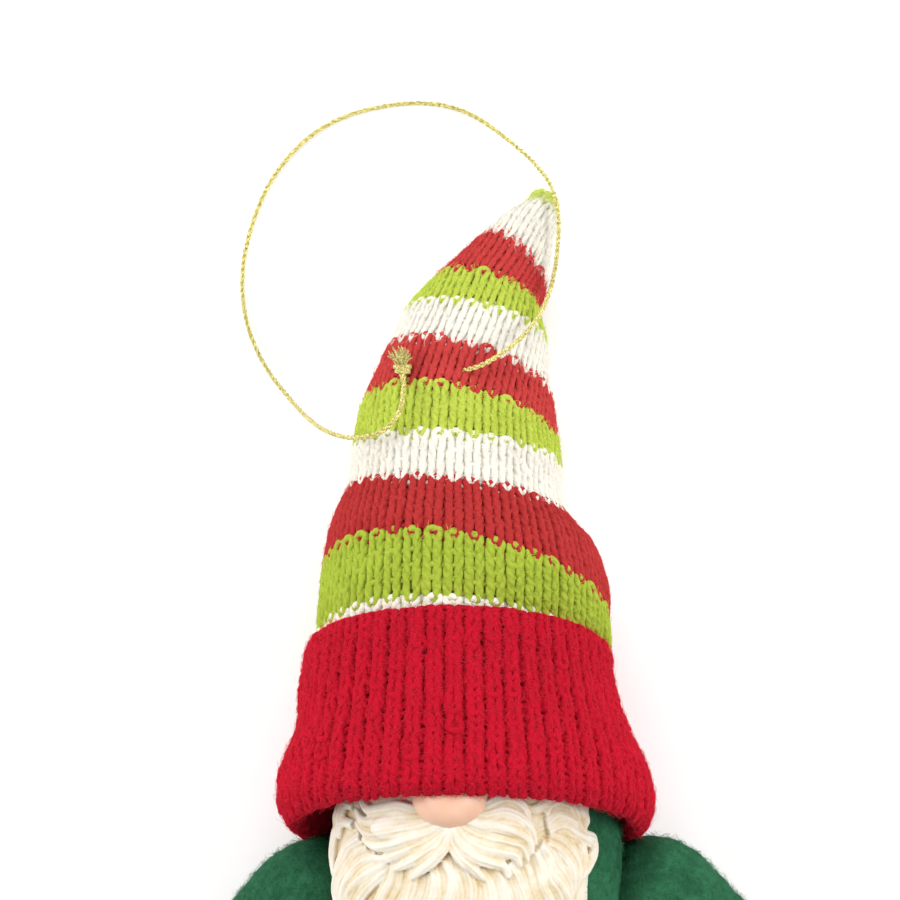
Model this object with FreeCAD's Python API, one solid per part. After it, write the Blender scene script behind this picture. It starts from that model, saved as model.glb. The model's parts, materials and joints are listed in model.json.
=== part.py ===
import FreeCAD, Part
import math
import os

# Tomte gnome figurine, lying on its back on a flat surface.
# Millimetres. +Y runs from the boots to the tip of the hat, +X is the viewer's right,
# +Z comes out of the face. The surface under the back is z = 0.

Vector = FreeCAD.Vector
Rotation = FreeCAD.Rotation
Placement = FreeCAD.Placement

# ---- driving dimensions --------------------------------------------------------------

sole_y = -78.7              # plane of both boot soles
knit_wall = 1.5             # single layer of hat knit
cuff_wall = 2.6             # folded brim, two layers
fleece_wall = 1.2           # coat and sleeve fleece
cotton_wall = 0.9           # trouser leg cloth
fit_gap = 0.2               # slack between glued or stuffed pieces
joint_gap = 0.35            # slack round a shoulder or hip ball
ring_points = 16            # points on each oval section
open_end = 2.0              # how far a hollow's cutter runs past an open end
box_side = 80.0             # side of the boxes that keep one part of a solid

# Each section: centre x, y, z, half width, half depth, pitch and roll in degrees.
# Pitch tips the front of the ring towards the hat's tip, roll drops its right side.
crown_sections = [
    (-2.1, -8.6, 22.7, 22.8, 20.5, 14.0, 0.0),
    (-2.4, -3.0, 22.1, 22.0, 20.1, 14.0, 0.0),
    (-2.9, 2.6, 21.3, 20.0, 19.1, 14.0, 1.0),
    (-3.2, 8.0, 20.7, 19.1, 18.4, 14.0, 2.0),
    (-3.1, 13.0, 20.2, 19.0, 18.4, 14.0, 4.0),
    (-2.6, 18.2, 20.0, 20.6, 20.0, 14.0, 7.0),
    (-2.6, 23.6, 18.9, 20.7, 19.3, 14.0, 9.0),
    (-3.3, 29.4, 17.0, 18.6, 17.4, 14.0, 8.0),
    (-3.6, 35.6, 15.2, 16.4, 15.6, 15.0, 7.0),
    (-3.2, 42.4, 13.9, 15.4, 14.3, 17.0, 11.0),
    (-3.3, 49.0, 12.4, 13.9, 12.8, 19.0, 13.0),
    (-2.3, 55.3, 10.9, 12.2, 11.4, 21.0, 16.0),
    (-0.8, 61.5, 9.5, 10.2, 9.8, 22.0, 21.0),
    (1.7, 67.2, 7.9, 7.7, 7.9, 22.0, 27.0),
    (5.0, 72.6, 6.5, 5.4, 5.9, 20.0, 34.0),
    (8.2, 76.6, 5.1, 3.2, 3.7, 16.0, 40.0),
]
cuff_sections = [
    (-2.1, -10.2, 23.4, 26.0, 23.2, 14.0, 0.0),
    (-2.2, -7.0, 23.2, 26.6, 23.5, 14.0, 0.0),
    (-2.4, -2.0, 22.6, 25.8, 23.0, 14.0, 0.0),
    (-3.0, 4.0, 21.6, 23.0, 21.9, 14.0, 1.0),
    (-3.2, 9.0, 20.9, 22.0, 21.3, 14.0, 2.0),
    (-3.2, 14.2, 20.3, 21.6, 20.8, 14.0, 3.0),
]
coat_sections = [
    (0.0, -13.0, 19.0, 12.0, 10.0, 0.0, 0.0),
    (0.0, -16.5, 18.8, 17.0, 14.5, 0.0, 0.0),
    (0.0, -23.0, 18.4, 18.5, 16.6, 0.0, 0.0),
    (0.0, -32.0, 18.1, 18.0, 17.5, 0.0, 0.0),
    (0.0, -40.5, 18.0, 19.4, 17.8, 0.0, 0.0),
    (0.0, -47.5, 17.6, 21.2, 17.4, 0.0, 0.0),
    (0.0, -52.0, 17.0, 19.4, 15.2, 0.0, 0.0),
]
beard_sections = [
    (-2.8, -4.0, 24.0, 16.5, 14.6, 0.0, 0.0),
    (-2.7, -9.0, 24.0, 18.0, 16.0, 0.0, 0.0),
    (-2.6, -17.0, 24.0, 18.9, 17.4, 0.0, 0.0),
    (-2.6, -26.0, 24.0, 18.0, 17.2, 0.0, 0.0),
    (-2.4, -34.0, 25.0, 13.5, 15.6, 0.0, 0.0),
    (-2.2, -41.0, 26.0, 7.0, 13.6, 0.0, 0.0),
    (-2.0, -45.0, 27.0, 2.6, 11.6, 0.0, 0.0),
]
beard_back_z = 28.2         # the casting reaches back to here at the cheeks

head_centre = Vector(-2.7, 5.0, 21.3)
head_radius = 16.0
fill_start_y = 12.0         # the fill packs in behind the head from here to the tip
nose_centre = Vector(-4.3, -5.8, 38.3)
nose_half = (5.2, 4.3, 4.8)
tip_centre = Vector(9.0, 77.2, 4.9)
tip_half = (2.5, 1.4, 2.2)

shoulder_x = 24.0
shoulder_y = -23.2
shoulder_z = 16.2
shoulder_radius = 9.0
sleeve_end_radius = 7.7
sleeve_length = 21.0        # shoulder ball's centre to the sleeve's open end
mitten_length = 12.5        # past the sleeve's open end
palm_half = (6.75, 6.0, 5.0)
wrist_radius = 4.6
wrist_start = sleeve_length - 4.6
wrist_length = 6.0
thumb_half = (4.4, 2.2, 2.2)
thumb_offset = (4.0, 4.9, 1.8)      # past the sleeve's end, towards the body, out
thumb_angle = 38.0
arm_fill_stop = 5.0         # the arm's fill ends this far inside the sleeve's open end
arm_directions = {
    "right": Vector(0.65, -0.71, -0.40),
    "left": Vector(-0.64, -0.72, -0.39),
}

hip_x = 9.6
hip_y = -56.0
hip_z = 9.4
hip_radius = 7.4
trouser_end_radius = 6.7
trouser_length = 11.5
leg_fill_stop = 2.0         # the leg's fill ends this far inside the trouser's open end
boot_sections = [
    # y, centre z, half width, half depth
    (-65.8, 9.4, 5.3, 5.3),
    (-67.8, 9.4, 5.4, 5.4),
    (-69.8, 9.2, 6.3, 6.8),
    (-73.0, 10.2, 7.0, 9.6),
    (-76.4, 11.0, 7.4, 10.9),
    (sole_y, 11.0, 7.2, 10.7),
]

cord_diameter = 0.9
# Route of the hanging cord: out of the knit, over the hat's right flank and its tip, round
# on the surface to the left, up over the left flank and into the knot.
cord_route = [
    (-2.6, 51.7, 25.3),
    (-0.4, 52.2, 27.6),
    (2.6, 53.7, 26.8),
    (5.9, 56.2, 23.9),
    (8.7, 59.3, 19.7),
    (10.8, 62.9, 15.4),
    (12.0, 67.0, 12.4),
    (12.3, 71.5, 11.2),
    (11.8, 75.9, 11.5),
    (10.1, 80.1, 9.0),
    (7.6, 83.8, 4.0),
    (4.3, 87.2, 0.8),
    (-1.4, 91.0, 0.5),
    (-7.6, 92.5, 0.5),
    (-14.4, 91.9, 0.5),
    (-20.7, 90.2, 0.5),
    (-26.3, 86.7, 0.5),
    (-31.0, 81.1, 0.5),
    (-33.9, 74.3, 0.5),
    (-35.4, 67.2, 0.5),
    (-34.9, 59.9, 0.5),
    (-32.0, 53.2, 1.2),
    (-28.0, 48.4, 5.8),
    (-24.8, 45.2, 12.6),
    (-21.7, 43.2, 19.6),
    (-17.8, 42.2, 25.8),
    (-13.6, 42.9, 29.4),
    (-11.1, 45.8, 29.8),
    (-10.4, 49.4, 28.3),
    (-10.4, 52.8, 25.2),
]
knot_centre = Vector(-10.4, 53.2, 24.8)
knot_half = (1.8, 2.7, 1.6)


# ---- shape helpers -------------------------------------------------------------------

def oval_wire(section, inset=0.0):
    """Closed smooth oval for one section, shrunk by inset all round."""
    x, y, z, half_width, half_depth, pitch, roll = section
    turn = Rotation(Vector(0, 0, 1), -roll) * Rotation(Vector(1, 0, 0), -pitch)
    points = []
    for step in range(ring_points):
        angle = 2 * math.pi * step / ring_points
        across = (half_width - inset) * math.cos(angle)
        out = (half_depth - inset) * math.sin(angle)
        points.append(Vector(x, y, z) + turn.multVec(Vector(across, 0, out)))
    curve = Part.BSplineCurve()
    curve.interpolate(points, PeriodicFlag=True)
    return Part.Wire(curve.toShape())


def oval_loft(sections, inset=0.0):
    """Solid through the sections, with flat ends."""
    return Part.makeLoft([oval_wire(section, inset) for section in sections], True, False)


def moved_end(section, distance):
    """The same oval, moved along Y."""
    x, y, z, half_width, half_depth, pitch, roll = section
    return (x, y + distance, z, half_width, half_depth, pitch, roll)


def ellipsoid(centre, half_sizes):
    """Solid ellipsoid with the given half sizes along X, Y and Z."""
    matrix = FreeCAD.Matrix()
    matrix.scale(*half_sizes)
    shape = Part.makeSphere(1.0).transformGeometry(matrix)
    shape.translate(centre)
    return shape


def limb_profile(ball_radius, end_radius, length):
    """Half outline of a limb along +X: a round ball at the origin, then a taper."""
    diagonal = ball_radius * math.cos(math.pi / 4)
    ball = Part.Arc(
        Vector(-ball_radius, 0, 0),
        Vector(-diagonal, diagonal, 0),
        Vector(0, ball_radius, 0),
    )
    bulge = ball_radius * 0.55 + end_radius * 0.45 + 0.3
    side = Part.Arc(
        Vector(0, ball_radius, 0),
        Vector(length * 0.5, bulge, 0),
        Vector(length, end_radius, 0),
    )
    edges = [ball.toShape(), side.toShape()]
    edges.append(Part.makeLine(Vector(length, end_radius, 0), Vector(length, 0, 0)))
    edges.append(Part.makeLine(Vector(length, 0, 0), Vector(-ball_radius, 0, 0)))
    return Part.Face(Part.Wire(edges))


def limb_solid(ball_radius, end_radius, length):
    """Solid of revolution about +X from limb_profile."""
    face = limb_profile(ball_radius, end_radius, length)
    return face.revolve(Vector(0, 0, 0), Vector(1, 0, 0), 360)


def placed_along(shape, centre, direction):
    """Turns a shape made along +X to point along direction from centre."""
    result = shape.copy()
    result.Placement = Placement(centre, Rotation(Vector(1, 0, 0), direction))
    return result


def sleeve_tube(ball_radius, end_radius, length, wall):
    """Cloth tube closed by its ball end and open at the far end."""
    outer = limb_solid(ball_radius, end_radius, length)
    inner = limb_solid(ball_radius - wall, end_radius - wall, length + 1.0)
    return outer.cut(inner)


def export(shape, node):
    """Writes one sub-part to parts/."""
    if not shape.isValid():
        print("invalid shape:", node)
    shape.exportStep("parts/" + node + ".step")
    print("%-20s solids %d  volume %8.2f" % (node, len(shape.Solids), shape.Volume))


# ---- hat -----------------------------------------------------------------------------

def hat_crown():
    """Knitted tube, open at the brim and drawn shut at the tip."""
    outer = oval_loft(crown_sections)
    inner_sections = [moved_end(crown_sections[0], -open_end)] + crown_sections[1:-1]
    return outer.cut(oval_loft(inner_sections, knit_wall))


def hat_cuff():
    """Turned-up brim with a fuller rolled lower edge."""
    outer = oval_loft(cuff_sections)
    inner_sections = [moved_end(cuff_sections[0], -open_end)] + cuff_sections[1:-1]
    inner_sections.append(moved_end(cuff_sections[-1], open_end))
    band = outer.cut(oval_loft(inner_sections, cuff_wall))
    return band.cut(oval_loft(crown_sections, -fit_gap))


def hat_stuffing():
    """Loose fibre fill between the head and the tip."""
    inner_sections = [moved_end(crown_sections[0], -open_end)] + crown_sections[1:-1]
    fill = oval_loft(inner_sections, knit_wall + fit_gap)
    fill = fill.cut(Part.makeSphere(head_radius + fit_gap, head_centre))
    keep = Part.makeBox(box_side, box_side, box_side, Vector(-box_side / 2, fill_start_y, 0))
    pieces = fill.common(keep).Solids
    return max(pieces, key=lambda piece: piece.Volume)


def tip_closing_yarn():
    """Whipped yarn that draws the last course shut, wrapped over the knit."""
    return ellipsoid(tip_centre, tip_half).cut(oval_loft(crown_sections))


# ---- head ----------------------------------------------------------------------------

def nose_bead():
    """Bead nose with a hollow seat that is glued to the head."""
    seat = Part.makeSphere(head_radius, head_centre)
    return ellipsoid(nose_centre, nose_half).cut(seat)


def beard_casting():
    """Cast beard and moustache: a crescent that wraps the face and the chest."""
    outer = oval_loft(beard_sections)
    outer = outer.cut(oval_loft(coat_sections, -fit_gap))
    outer = outer.cut(Part.makeSphere(head_radius + fit_gap, head_centre))
    outer = outer.cut(ellipsoid(nose_centre, nose_half))
    corner = Vector(-box_side / 2, -60, beard_back_z)
    keep = Part.makeBox(box_side, box_side, box_side, corner)
    pieces = outer.common(keep).cut(oval_loft(crown_sections, -fit_gap)).Solids
    return max(pieces, key=lambda piece: piece.Volume)


# ---- body and limbs ------------------------------------------------------------------

def shoulder_centre(side):
    sign = 1 if side == "right" else -1
    return Vector(sign * shoulder_x, shoulder_y, shoulder_z)


def hip_centre(side):
    sign = 1 if side == "right" else -1
    return Vector(sign * hip_x, hip_y, hip_z)


def joint_sockets():
    """Balls removed from the torso so that the limbs can turn in it."""
    sockets = []
    for side in ("left", "right"):
        sockets.append(Part.makeSphere(shoulder_radius + joint_gap, shoulder_centre(side)))
        sockets.append(Part.makeSphere(hip_radius + joint_gap, hip_centre(side)))
    return sockets


def coat_body():
    """Fleece bag of the coat."""
    inset = fleece_wall
    inner_sections = [moved_end(coat_sections[0], -inset)] + coat_sections[1:-1]
    inner_sections.append(moved_end(coat_sections[-1], inset))
    shell = oval_loft(coat_sections).cut(oval_loft(inner_sections, inset))
    return shell.cut(joint_sockets())


def body_stuffing():
    """Fibre fill inside the coat."""
    inset = fleece_wall + fit_gap
    inner_sections = [moved_end(coat_sections[0], -inset)] + coat_sections[1:-1]
    inner_sections.append(moved_end(coat_sections[-1], inset))
    return oval_loft(inner_sections, inset).cut(joint_sockets())


def arm(side):
    """Sleeve, its fill and the mitten, as a dictionary of shapes."""
    centre = shoulder_centre(side)
    direction = arm_directions[side]
    sleeve = sleeve_tube(shoulder_radius, sleeve_end_radius, sleeve_length, fleece_wall)
    fill_inset = fleece_wall + fit_gap
    fill = limb_solid(
        shoulder_radius - fill_inset,
        sleeve_end_radius - fill_inset,
        sleeve_length - arm_fill_stop,
    )
    along = Vector(1, 0, 0)
    wrist = Part.makeCylinder(wrist_radius, wrist_length, along * wrist_start, along)
    palm_middle = sleeve_length + mitten_length - palm_half[0]
    palm = ellipsoid(along * palm_middle, palm_half)
    towards_body = -1 if side == "right" else 1
    thumb = ellipsoid(Vector(0, 0, 0), thumb_half)
    past, inwards, out = thumb_offset
    thumb.Placement = Placement(
        Vector(sleeve_length + past, inwards * towards_body, out),
        Rotation(Vector(0, 0, 1), thumb_angle * towards_body),
    )
    mitten = wrist.fuse([palm, thumb]).removeSplitter()
    return {
        side + "_sleeve": placed_along(sleeve, centre, direction),
        side + "_arm_stuffing": placed_along(fill, centre, direction),
        side + "_mitten": placed_along(mitten, centre, direction),
    }


def boot(side):
    """Cast boot with a flat sole, toe up."""
    x = hip_centre(side).x
    sections = [
        (x, y, z, half_width, half_depth, 0.0, 0.0)
        for y, z, half_width, half_depth in boot_sections
    ]
    return oval_loft(sections)


def leg(side):
    """Trouser leg, its fill and the boot, as a dictionary of shapes."""
    centre = hip_centre(side)
    down = Vector(0, -1, 0)
    trouser = sleeve_tube(hip_radius, trouser_end_radius, trouser_length, cotton_wall)
    fill_inset = cotton_wall + fit_gap
    fill = limb_solid(
        hip_radius - fill_inset, trouser_end_radius - fill_inset, trouser_length - leg_fill_stop
    )
    trouser = placed_along(trouser, centre, down)
    return {
        side + "_trouser_leg": trouser,
        side + "_leg_stuffing": placed_along(fill, centre, down),
        side + "_boot": boot(side),
    }


# ---- hanging cord --------------------------------------------------------------------

def cord_tube(route, diameter):
    """Straight runs joined by tangent arcs, swept with a round section."""
    points = [Vector(*point) for point in route]
    edges = []
    start = points[0]
    smallest = None
    for index in range(1, len(points) - 1):
        before = points[index] - points[index - 1]
        after = points[index + 1] - points[index]
        turn = before.getAngle(after)
        shorter = min(before.Length, after.Length)
        setback = 0.45 * shorter
        radius = setback / math.tan(turn / 2)
        arc_start = points[index] - before * (setback / before.Length)
        arc_end = points[index] + after * (setback / after.Length)
        to_middle = (arc_start + arc_end) * 0.5 - points[index]
        depth = radius / math.cos(turn / 2) - radius
        arc_middle = points[index] + to_middle * (depth / to_middle.Length)
        edges.append(Part.LineSegment(start, arc_start).toShape())
        edges.append(Part.Arc(arc_start, arc_middle, arc_end).toShape())
        start = arc_end
        smallest = radius if smallest is None else min(smallest, radius)
    edges.append(Part.LineSegment(start, points[-1]).toShape())
    path = Part.Wire(edges)
    first = points[1] - points[0]
    profile = Part.Wire(Part.makeCircle(diameter / 2, points[0], first))
    tube = path.makePipeShell([profile], True, True)
    ideal = math.pi * diameter ** 2 / 4 * path.Length
    print("cord length %.1f, smallest radius %.2f, volume %.3f against %.3f"
          % (path.Length, smallest, tube.Volume, ideal))
    return tube


# ---- build ---------------------------------------------------------------------------

os.makedirs("parts", exist_ok=True)
shapes = {
    "hat_crown": hat_crown(),
    "hat_cuff": hat_cuff(),
    "hat_stuffing": hat_stuffing(),
    "tip_closing_yarn": tip_closing_yarn(),
    "head_ball": Part.makeSphere(head_radius, head_centre),
    "beard_casting": beard_casting(),
    "nose_bead": nose_bead(),
    "coat_body": coat_body(),
    "body_stuffing": body_stuffing(),
    "hanging_cord": cord_tube(cord_route, cord_diameter),
    "cord_knot": ellipsoid(knot_centre, knot_half),
}
for side in ("left", "right"):
    shapes.update(arm(side))
    shapes.update(leg(side))
for node, shape in shapes.items():
    export(shape, node)
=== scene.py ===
import json
import math

import bpy
import numpy as np
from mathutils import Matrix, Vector
from mathutils.kdtree import KDTree


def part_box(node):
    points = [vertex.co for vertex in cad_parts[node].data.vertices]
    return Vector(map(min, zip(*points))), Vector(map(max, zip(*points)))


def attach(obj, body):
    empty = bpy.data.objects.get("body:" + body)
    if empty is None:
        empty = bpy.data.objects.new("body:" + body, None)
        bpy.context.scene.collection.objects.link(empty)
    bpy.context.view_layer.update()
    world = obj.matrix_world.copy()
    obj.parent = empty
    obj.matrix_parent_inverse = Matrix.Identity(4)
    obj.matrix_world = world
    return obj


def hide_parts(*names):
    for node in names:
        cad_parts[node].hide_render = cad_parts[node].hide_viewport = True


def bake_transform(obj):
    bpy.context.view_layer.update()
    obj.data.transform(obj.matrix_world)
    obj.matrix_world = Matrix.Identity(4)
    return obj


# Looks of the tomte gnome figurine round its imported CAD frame.
# Shapes are worked out in millimetres and written to Blender in metres (see Shape.build).

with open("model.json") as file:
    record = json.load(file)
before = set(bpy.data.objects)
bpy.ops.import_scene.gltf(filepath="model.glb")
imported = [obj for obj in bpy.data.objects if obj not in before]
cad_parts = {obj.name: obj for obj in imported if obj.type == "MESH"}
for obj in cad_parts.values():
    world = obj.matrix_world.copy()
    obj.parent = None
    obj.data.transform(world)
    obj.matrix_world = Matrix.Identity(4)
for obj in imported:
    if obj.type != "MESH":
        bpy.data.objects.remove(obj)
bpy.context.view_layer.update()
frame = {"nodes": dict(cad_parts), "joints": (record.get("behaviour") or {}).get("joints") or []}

MM = 0.001
rng = np.random.RandomState(11)


# ---- number helpers ------------------------------------------------------------------

def unit(vectors):
    """Vectors of length one, along the last axis."""
    length = np.linalg.norm(vectors, axis=-1, keepdims=True)
    return vectors / np.maximum(length, 1e-9)


def smooth_between(knots, values, places):
    """Smooth curve through values at knots, read at places."""
    knots = np.asarray(knots, float)
    values = np.asarray(values, float)
    slopes = np.gradient(values, knots, axis=0)
    places = np.clip(np.asarray(places, float), knots[0], knots[-1])
    index = np.clip(np.searchsorted(knots, places, side="right") - 1, 0, len(knots) - 2)
    span = knots[index + 1] - knots[index]
    t = (places - knots[index]) / span
    shape = t.shape + (1,) * (values.ndim - 1)
    t = t.reshape(shape)
    span = span.reshape(shape)
    a = values[index]
    b = values[index + 1]
    return (
        (2 * t ** 3 - 3 * t ** 2 + 1) * a
        + (t ** 3 - 2 * t ** 2 + t) * span * slopes[index]
        + (3 * t ** 2 - 2 * t ** 3) * b
        + (t ** 3 - t ** 2) * span * slopes[index + 1]
    )


def curve_through(points, count):
    """count points evenly spaced in parameter along a smooth curve through points."""
    points = np.asarray(points, float)
    steps = np.linalg.norm(np.diff(points, axis=0), axis=1)
    knots = np.concatenate([[0], np.cumsum(steps)])
    return smooth_between(knots, points, np.linspace(0, knots[-1], count))


def full_turn(count):
    """count angles, evenly spaced round a circle."""
    return np.linspace(0, 2 * math.pi, count + 1)[:-1]


def ripple(points, scale, seed):
    """Smooth pseudo-random value from -1 to 1 for each point, with features of about scale."""
    source = np.random.RandomState(seed)
    total = np.zeros(points.shape[:-1])
    waves = 9
    for _ in range(waves):
        direction = unit(source.normal(size=3))
        phase = source.uniform(0, 2 * math.pi)
        stretch = source.uniform(0.7, 1.6)
        total += np.sin(points @ direction * (2 * math.pi * stretch / scale) + phase)
    return total / waves * 1.6


# ---- meshes --------------------------------------------------------------------------

class Shape:
    """Vertices in millimetres, and faces, gathered part by part."""

    def __init__(self):
        self.points = []
        self.faces = []
        self.count = 0

    def add(self, points, faces, uvs=None, material=0):
        """faces is an (n, corners) array; uvs has one pair for each corner."""
        points = np.asarray(points, float).reshape(-1, 3)
        faces = np.asarray(faces, int)
        if uvs is None:
            uvs = np.zeros(faces.shape + (2,))
        self.faces.append((faces + self.count, np.asarray(uvs, float), material))
        self.points.append(points)
        self.count += len(points)

    def build(self, name, materials, body=None):
        """The finished object, in metres. It rides on body, if one is given."""
        mesh = bpy.data.meshes.new(name)
        points = np.concatenate(self.points) * MM
        corners = np.concatenate([faces.ravel() for faces, _, _ in self.faces])
        sizes = np.concatenate([np.full(len(f), f.shape[1]) for f, _, _ in self.faces])
        starts = np.concatenate([[0], np.cumsum(sizes)[:-1]])
        marks = np.concatenate([np.full(len(f), m) for f, _, m in self.faces])
        uvs = np.concatenate([u.reshape(-1, 2) for _, u, _ in self.faces])
        mesh.vertices.add(len(points))
        mesh.vertices.foreach_set("co", points.astype(np.float32).ravel())
        mesh.loops.add(len(corners))
        mesh.loops.foreach_set("vertex_index", corners.astype(np.int32))
        mesh.polygons.add(len(sizes))
        mesh.polygons.foreach_set("loop_start", starts.astype(np.int32))
        mesh.polygons.foreach_set("material_index", marks.astype(np.int32))
        mesh.update(calc_edges=True)
        layer = mesh.uv_layers.new(name="yarn")
        layer.data.foreach_set("uv", uvs.astype(np.float32).ravel())
        mesh.validate()
        mesh.polygons.foreach_set("use_smooth", np.ones(len(mesh.polygons), bool))
        for material in materials:
            mesh.materials.append(material)
        piece = bpy.data.objects.new(name, mesh)
        bpy.context.scene.collection.objects.link(piece)
        if body:
            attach(piece, body)
        return piece


def tube_frames(path, normals=None):
    """Unit tangents and two unit side vectors along a path."""
    tangents = unit(np.gradient(path, axis=0))
    if normals is None:
        normals = np.zeros_like(path)
        normal = np.cross(tangents[0], [0.31, 0.52, 0.79])
        for index, tangent in enumerate(tangents):
            normal = normal - tangent * (normal @ tangent)
            normal = normal / max(np.linalg.norm(normal), 1e-9)
            normals[index] = normal
    sides = unit(np.cross(tangents, normals))
    return tangents, unit(np.cross(sides, tangents)), sides


def add_tube(shape, path, radii, sides, normals=None, closed=False, material=0, squash=1.0):
    """A tube along path with its ends closed, or one ring without ends."""
    path = np.asarray(path, float)
    count = len(path)
    radii = np.broadcast_to(np.asarray(radii, float), (count,))
    _, out, across = tube_frames(path, normals)
    angles = np.arange(sides) * 2 * math.pi / sides
    ring = np.cos(angles)[None, :, None] * out[:, None] * squash
    ring = ring + np.sin(angles)[None, :, None] * across[:, None]
    points = path[:, None] + ring * radii[:, None, None]
    rows = count if closed else count - 1
    a = np.arange(rows)[:, None] * sides
    b = (np.arange(rows)[:, None] + 1) % count * sides
    j = np.arange(sides)[None]
    k = (j + 1) % sides
    faces = np.stack([a + j, a + k, b + k, b + j], axis=-1).reshape(-1, 4)
    along = np.concatenate([[0], np.cumsum(np.linalg.norm(np.diff(path, axis=0), axis=1))])
    u0 = np.broadcast_to(along[:rows, None], (rows, sides))
    step = np.append(np.diff(along), along[-1] / count)[:rows, None]
    u1 = u0 + step
    v0 = np.broadcast_to(j / sides, (rows, sides))
    v1 = v0 + 1 / sides
    corners = [(u0, v0), (u0, v1), (u1, v1), (u1, v0)]
    uvs = np.stack([np.stack(c, axis=-1) for c in corners], axis=2).reshape(-1, 4, 2)
    shape.add(points, faces, uvs, material)
    if not closed:
        start = shape.count - count * sides
        near = start + np.arange(sides)
        far = start + (count - 1) * sides + np.arange(sides)[::-1]
        for cap in (near, far):
            shape.faces.append((cap[None], np.zeros((1, sides, 2)), material))


def add_grid(shape, grid, wrap, material=0, flip=False):
    """Quads over a (rows, columns, 3) grid; wrap joins the last column to the first."""
    rows, columns = grid.shape[:2]
    j = np.arange(columns if wrap else columns - 1)
    k = (j + 1) % columns
    a = np.arange(rows - 1)[:, None] * columns
    b = a + columns
    faces = np.stack([a + j, a + k, b + k, b + j], axis=-1).reshape(-1, 4)
    if flip:
        faces = faces[:, ::-1]
    shape.add(grid, faces, None, material)


def add_fan(shape, ring, centre, flip=False):
    """Triangles from a ring of points to its centre."""
    count = len(ring)
    j = np.arange(count)
    k = (j + 1) % count
    faces = np.stack([j, k, np.full(count, count)], axis=-1)
    if flip:
        faces = faces[:, ::-1]
    shape.add(np.vstack([ring, centre]), faces)


def add_capped(shape, grid):
    """A wrapped grid, closed by a fan at each end."""
    add_grid(shape, grid, True)
    add_fan(shape, grid[0], grid[0].mean(axis=0), flip=True)
    add_fan(shape, grid[-1], grid[-1].mean(axis=0))


pole_share = 0.985          # how far up to its poles a ball's rows reach
pole_bulge = 0.01           # how far the pole's point stands out, as a share of its height


def add_ball(shape, centre, sizes, turns=48, rows=24):
    """An ellipsoid."""
    angle = full_turn(turns)
    top = math.pi / 2 * pole_share
    height = np.linspace(-top, top, rows)
    grid = np.stack([
        np.cos(height)[:, None] * np.cos(angle)[None],
        np.cos(height)[:, None] * np.sin(angle)[None],
        np.repeat(np.sin(height)[:, None], turns, axis=1),
    ], axis=-1) * np.array(sizes) + np.array(centre)
    bulge = np.array([0, 0, pole_bulge * sizes[2]])
    add_grid(shape, grid, True)
    add_fan(shape, grid[0], grid[0].mean(axis=0) - bulge, flip=True)
    add_fan(shape, grid[-1], grid[-1].mean(axis=0) + bulge)


fibre_steps = 5
fibre_sides = 3


def add_fibres(shape, roots, outward, count, length, lift, thickness, material):
    """Short curved hairs with fine tips, from random roots, lying mostly along the surface."""
    pick = rng.randint(0, len(roots), count)
    base = roots[pick]
    up = outward[pick]
    sideways = unit(np.cross(up, rng.normal(size=(count, 3))))
    reach = length * rng.uniform(0.45, 1.25, (count, 1))
    rise = lift * rng.uniform(0.2, 1.0, (count, 1))
    curl = unit(np.cross(up, sideways)) * rng.normal(scale=0.45, size=(count, 1))
    steps = np.linspace(0, 1, fibre_steps)
    line = []
    for t in steps:
        line.append(
            base
            + sideways * reach * t
            + up * reach * rise * t * (1.3 - 0.6 * t)
            + curl * reach * t * t
        )
    line = np.stack(line, axis=1)
    tangent = unit(np.gradient(line, axis=1))
    one = unit(np.cross(tangent, up[:, None] + 0.01))
    two = np.cross(tangent, one)
    angles = np.arange(fibre_sides) * 2 * math.pi / fibre_sides
    width = thickness * (1.0 - 0.75 * steps)
    ring = np.cos(angles)[None, None, :, None] * one[:, :, None]
    ring = ring + np.sin(angles)[None, None, :, None] * two[:, :, None]
    points = line[:, :, None] + ring * width[None, :, None, None]
    corners = fibre_steps * fibre_sides
    row = np.arange(count)[:, None, None] * corners
    row = row + np.arange(fibre_steps - 1)[None, :, None] * fibre_sides
    j = np.arange(fibre_sides)[None, None]
    k = (j + 1) % fibre_sides
    quads = [row + j, row + k, row + fibre_sides + k, row + fibre_sides + j]
    faces = np.stack(np.broadcast_arrays(*quads), axis=-1).reshape(-1, 4)
    shape.add(points, faces, None, material)
    ends = shape.count - count * corners + np.arange(count)[:, None] * corners
    for cap in (ends + [2, 1, 0], ends + [corners - 3, corners - 2, corners - 1]):
        shape.faces.append((cap, np.zeros(cap.shape + (2,)), material))


# ---- materials -----------------------------------------------------------------------

def linear(red, green, blue):
    """Scene-linear colour of an sRGB colour given from 0 to 255."""
    values = []
    for value in (red, green, blue):
        share = value / 255
        values.append(share / 12.92 if share <= 0.04045 else ((share + 0.055) / 1.055) ** 2.4)
    return tuple(values) + (1.0,)


def shaded(colour, factor):
    """The same colour, lighter or darker."""
    return tuple(min(1.0, c * factor) for c in colour[:3]) + (1.0,)


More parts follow.
